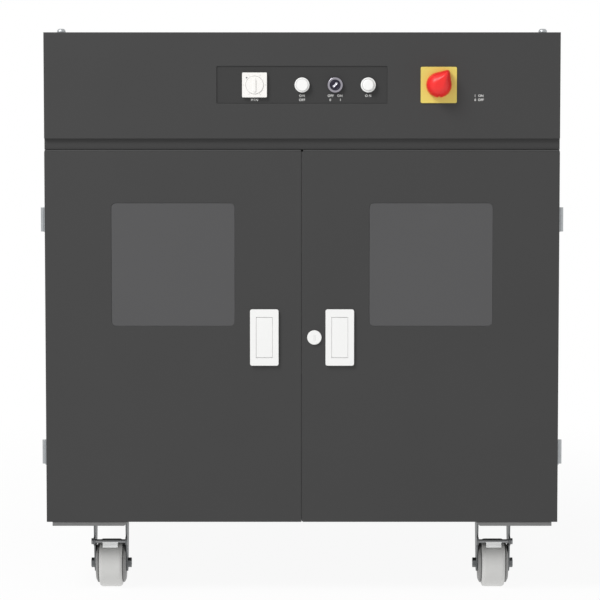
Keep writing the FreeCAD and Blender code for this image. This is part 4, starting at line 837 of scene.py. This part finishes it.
foot = (24.3 * mm, 33.8 * mm, 4.8 * mm, 0.4 * mm)
grip_radius, grip_tip, tip_radius, wall_foot, wall_top, notch_depth = 24.5, 34, 5, 1, 7, 2.4 * mm
radius_loss, tip_loss, round_loss, crown_rise = 19.5, 14, 2.5, 24.5
crown_steps, step_power, notch_power = 14, 1.4, 4
grip_rings = [drawn_out(*foot, notch_depth)]
for height in (wall_foot, wall_top):
    grip_rings.append(drawn_out(grip_radius * mm, grip_tip * mm, tip_radius * mm, height * mm, notch_depth))
for step in range(1, crown_steps + 1):
    inward = (step / crown_steps) ** step_power
    rise = math.sqrt(1 - (1 - inward) ** 2)
    grip_rings.append(drawn_out(
        (grip_radius - radius_loss * inward) * mm, (grip_tip - tip_loss * inward) * mm,
        (tip_radius - round_loss * inward) * mm, (wall_top + crown_rise * rise) * mm,
        notch_depth * (1 - inward) ** notch_power))
grip = stack("isolator_grip", grip_rings)
plate_low, plate_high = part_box("isolator_plate")
grip_centre = Vector(((plate_low.x + plate_high.x) / 2, plate_low.y, (plate_low.z + plate_high.z) / 2))
grip_place = facing("-Y", grip_centre) @ Matrix.Rotation(-grip_lean, 4, "Z")
handle = piece("isolator_grip_crowned", [(grip.data, grip_place)], red_abs, "isolator_handle",
               smooth=50.0)
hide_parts("isolator_handle")

# %% [markdown]
# ## Edge gaskets
# The joints between the doors, and over them, read as faint lines and not as black slots, because a soft grey
# gasket fills them. It is a plain extrusion along the door's edge, so each one is a long plank with a small
# taper. It rides on its door, and stops short of what it meets.

# %% Edge gaskets
edge_foam = surface("epdm_foam_grey", "#4c4c4c", 0.8, 1.5, 0.05, 0.4, drift=0.06, Specular_IOR_Level=0.2)
skin, depth, fill = 1.0 * mm, 14 * mm, 3.0 * mm
trim, past_middle, taper = 1 * mm, 1.2 * mm, 0.2 * mm
for side in ("left", "right"):
    door_low, door_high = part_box(side + "_door")
    over = stack("over", plank(door_high.x - door_low.x - trim, fill, -depth, -skin, taper))
    over_middle = Vector(((door_low.x + door_high.x) / 2, door_low.y, door_high.z + fill / 2))
    strips = [(over.data, facing("-Y", over_middle))]
    if side == "right":
        meet_width = door_low.x + past_middle
        meet = stack("meet", plank(meet_width, door_high.z - door_low.z - trim, -depth, -skin, taper))
        meet_middle = Vector((door_low.x - meet_width / 2, door_low.y, (door_low.z + door_high.z) / 2))
        strips.append((meet.data, facing("-Y", meet_middle)))
    piece(side + "_edge_gasket", strips, edge_foam, side + "_door")

# %% [markdown]
# ## Printed marks
# The strip carries short printed words under its controls. Here they are plain ones that any such switch has:
# ON and OFF, I and 0, and the timer's minutes. Text objects are turned to meshes before they get their place,
# and stand only a few hundredths of a millimetre proud, as thick ink does.

# %% Words on the strip and the fascia
printed = {"drift": 0.05, "drift_mm": 6.0, "Specular_IOR_Level": 0.3}
ink = surface("screen_ink_white", "#dededc", 0.6, 1.0, 0.004, 0.1, **printed)
dial_ink = surface("screen_ink_grey", "#c4c3be", 0.6, 1.0, 0.004, 0.1, **printed)


def words(text, height_mm, x, y, z, spread=1.0):
    """Printed words as (mesh, place), centred, facing the front."""
    curve = bpy.data.curves.new("words", "FONT")
    curve.body = text
    capital_share = 0.72
    curve.size = height_mm * mm / capital_share
    curve.align_x = "CENTER"
    curve.align_y = "CENTER"
    curve.space_character = spread
    curve.extrude = 0.03 * mm
    curve.offset = 0.08 * mm
    holder = bpy.data.objects.new("words", curve)
    scene.collection.objects.link(holder)
    mesh = bpy.data.meshes.new_from_object(holder.evaluated_get(bpy.context.evaluated_depsgraph_get()))
    bpy.data.objects.remove(holder)
    return mesh, facing("-Y", Vector((x, y, z)))


strip_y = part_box("control_plate")[0].y
fascia_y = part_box("front_fascia")[0].y
upper, lower, letter = 0.9775, 0.9695, 4.6
timer_x, start_x, lamp_x, isolator_note_x = -0.092, 0.0, 0.128, 0.3427
notes = (
    ("MIN", timer_x, strip_y, lower, 1.4),
    ("ON", start_x, strip_y, upper, 1.3),
    ("OFF", start_x, strip_y, lower, 1.1),
    ("OFF   ON", key_x, strip_y, upper, 1.1),
    ("0        I", key_x, strip_y, lower, 1.1),
    ("ON", lamp_x, strip_y, upper, 1.6),
    ("I   ON", isolator_note_x, fascia_y, upper, 1.0),
    ("0  OFF", isolator_note_x, fascia_y, lower, 1.0),
)
marks = [words(note, letter, x, y, z, spread) for note, x, y, z, spread in notes]
piece("printed_words", marks, ink, "cabinet")

# %% Ticks, numbers and lamp of the timer
timer_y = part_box("timer_housing")[0].y
tick_circle, number_circle, number_height = 0.0189, 0.0218, 2.3
last_number = 10
tick = stack("tick", plank(2.0 * mm, 0.45 * mm, -0.05 * mm, 0.05 * mm, 0.02 * mm))
start, sweep = math.radians(240), math.radians(300)
ticks = grown(circles, Part=tick, Count=last_number + 1, First=start, Step=-sweep / last_number,
              Radius=tick_circle, Finish=dial_ink)
dial_marks = [(ticks, facing("-Y", Vector((timer_x, timer_y, controls_z))))]
for number in range(0, last_number + 1, 2):
    turn = start - sweep * number / last_number
    x, z = timer_x + number_circle * math.cos(turn), controls_z + number_circle * math.sin(turn)
    dial_marks.append(words(str(number), number_height, x, timer_y, z))
piece("timer_marks", dial_marks, dial_ink, "cabinet")
led = lathe("timer_led", ((1.5, -0.3), (1.5, 0.2), (1.2, 0.6), (0.6, 0.85)))
led_lens = surface("polycarbonate_smoked", "#77767a", 0.25, 2.0, 0.004, 0.3, IOR=1.58)
led_left, led_up = 0.0152, 0.0140
led_spot = Vector((timer_x - led_left, timer_y, controls_z + led_up))
piece("timer_lamp", [(led.data, facing("-Y", led_spot))], led_lens, "cabinet")
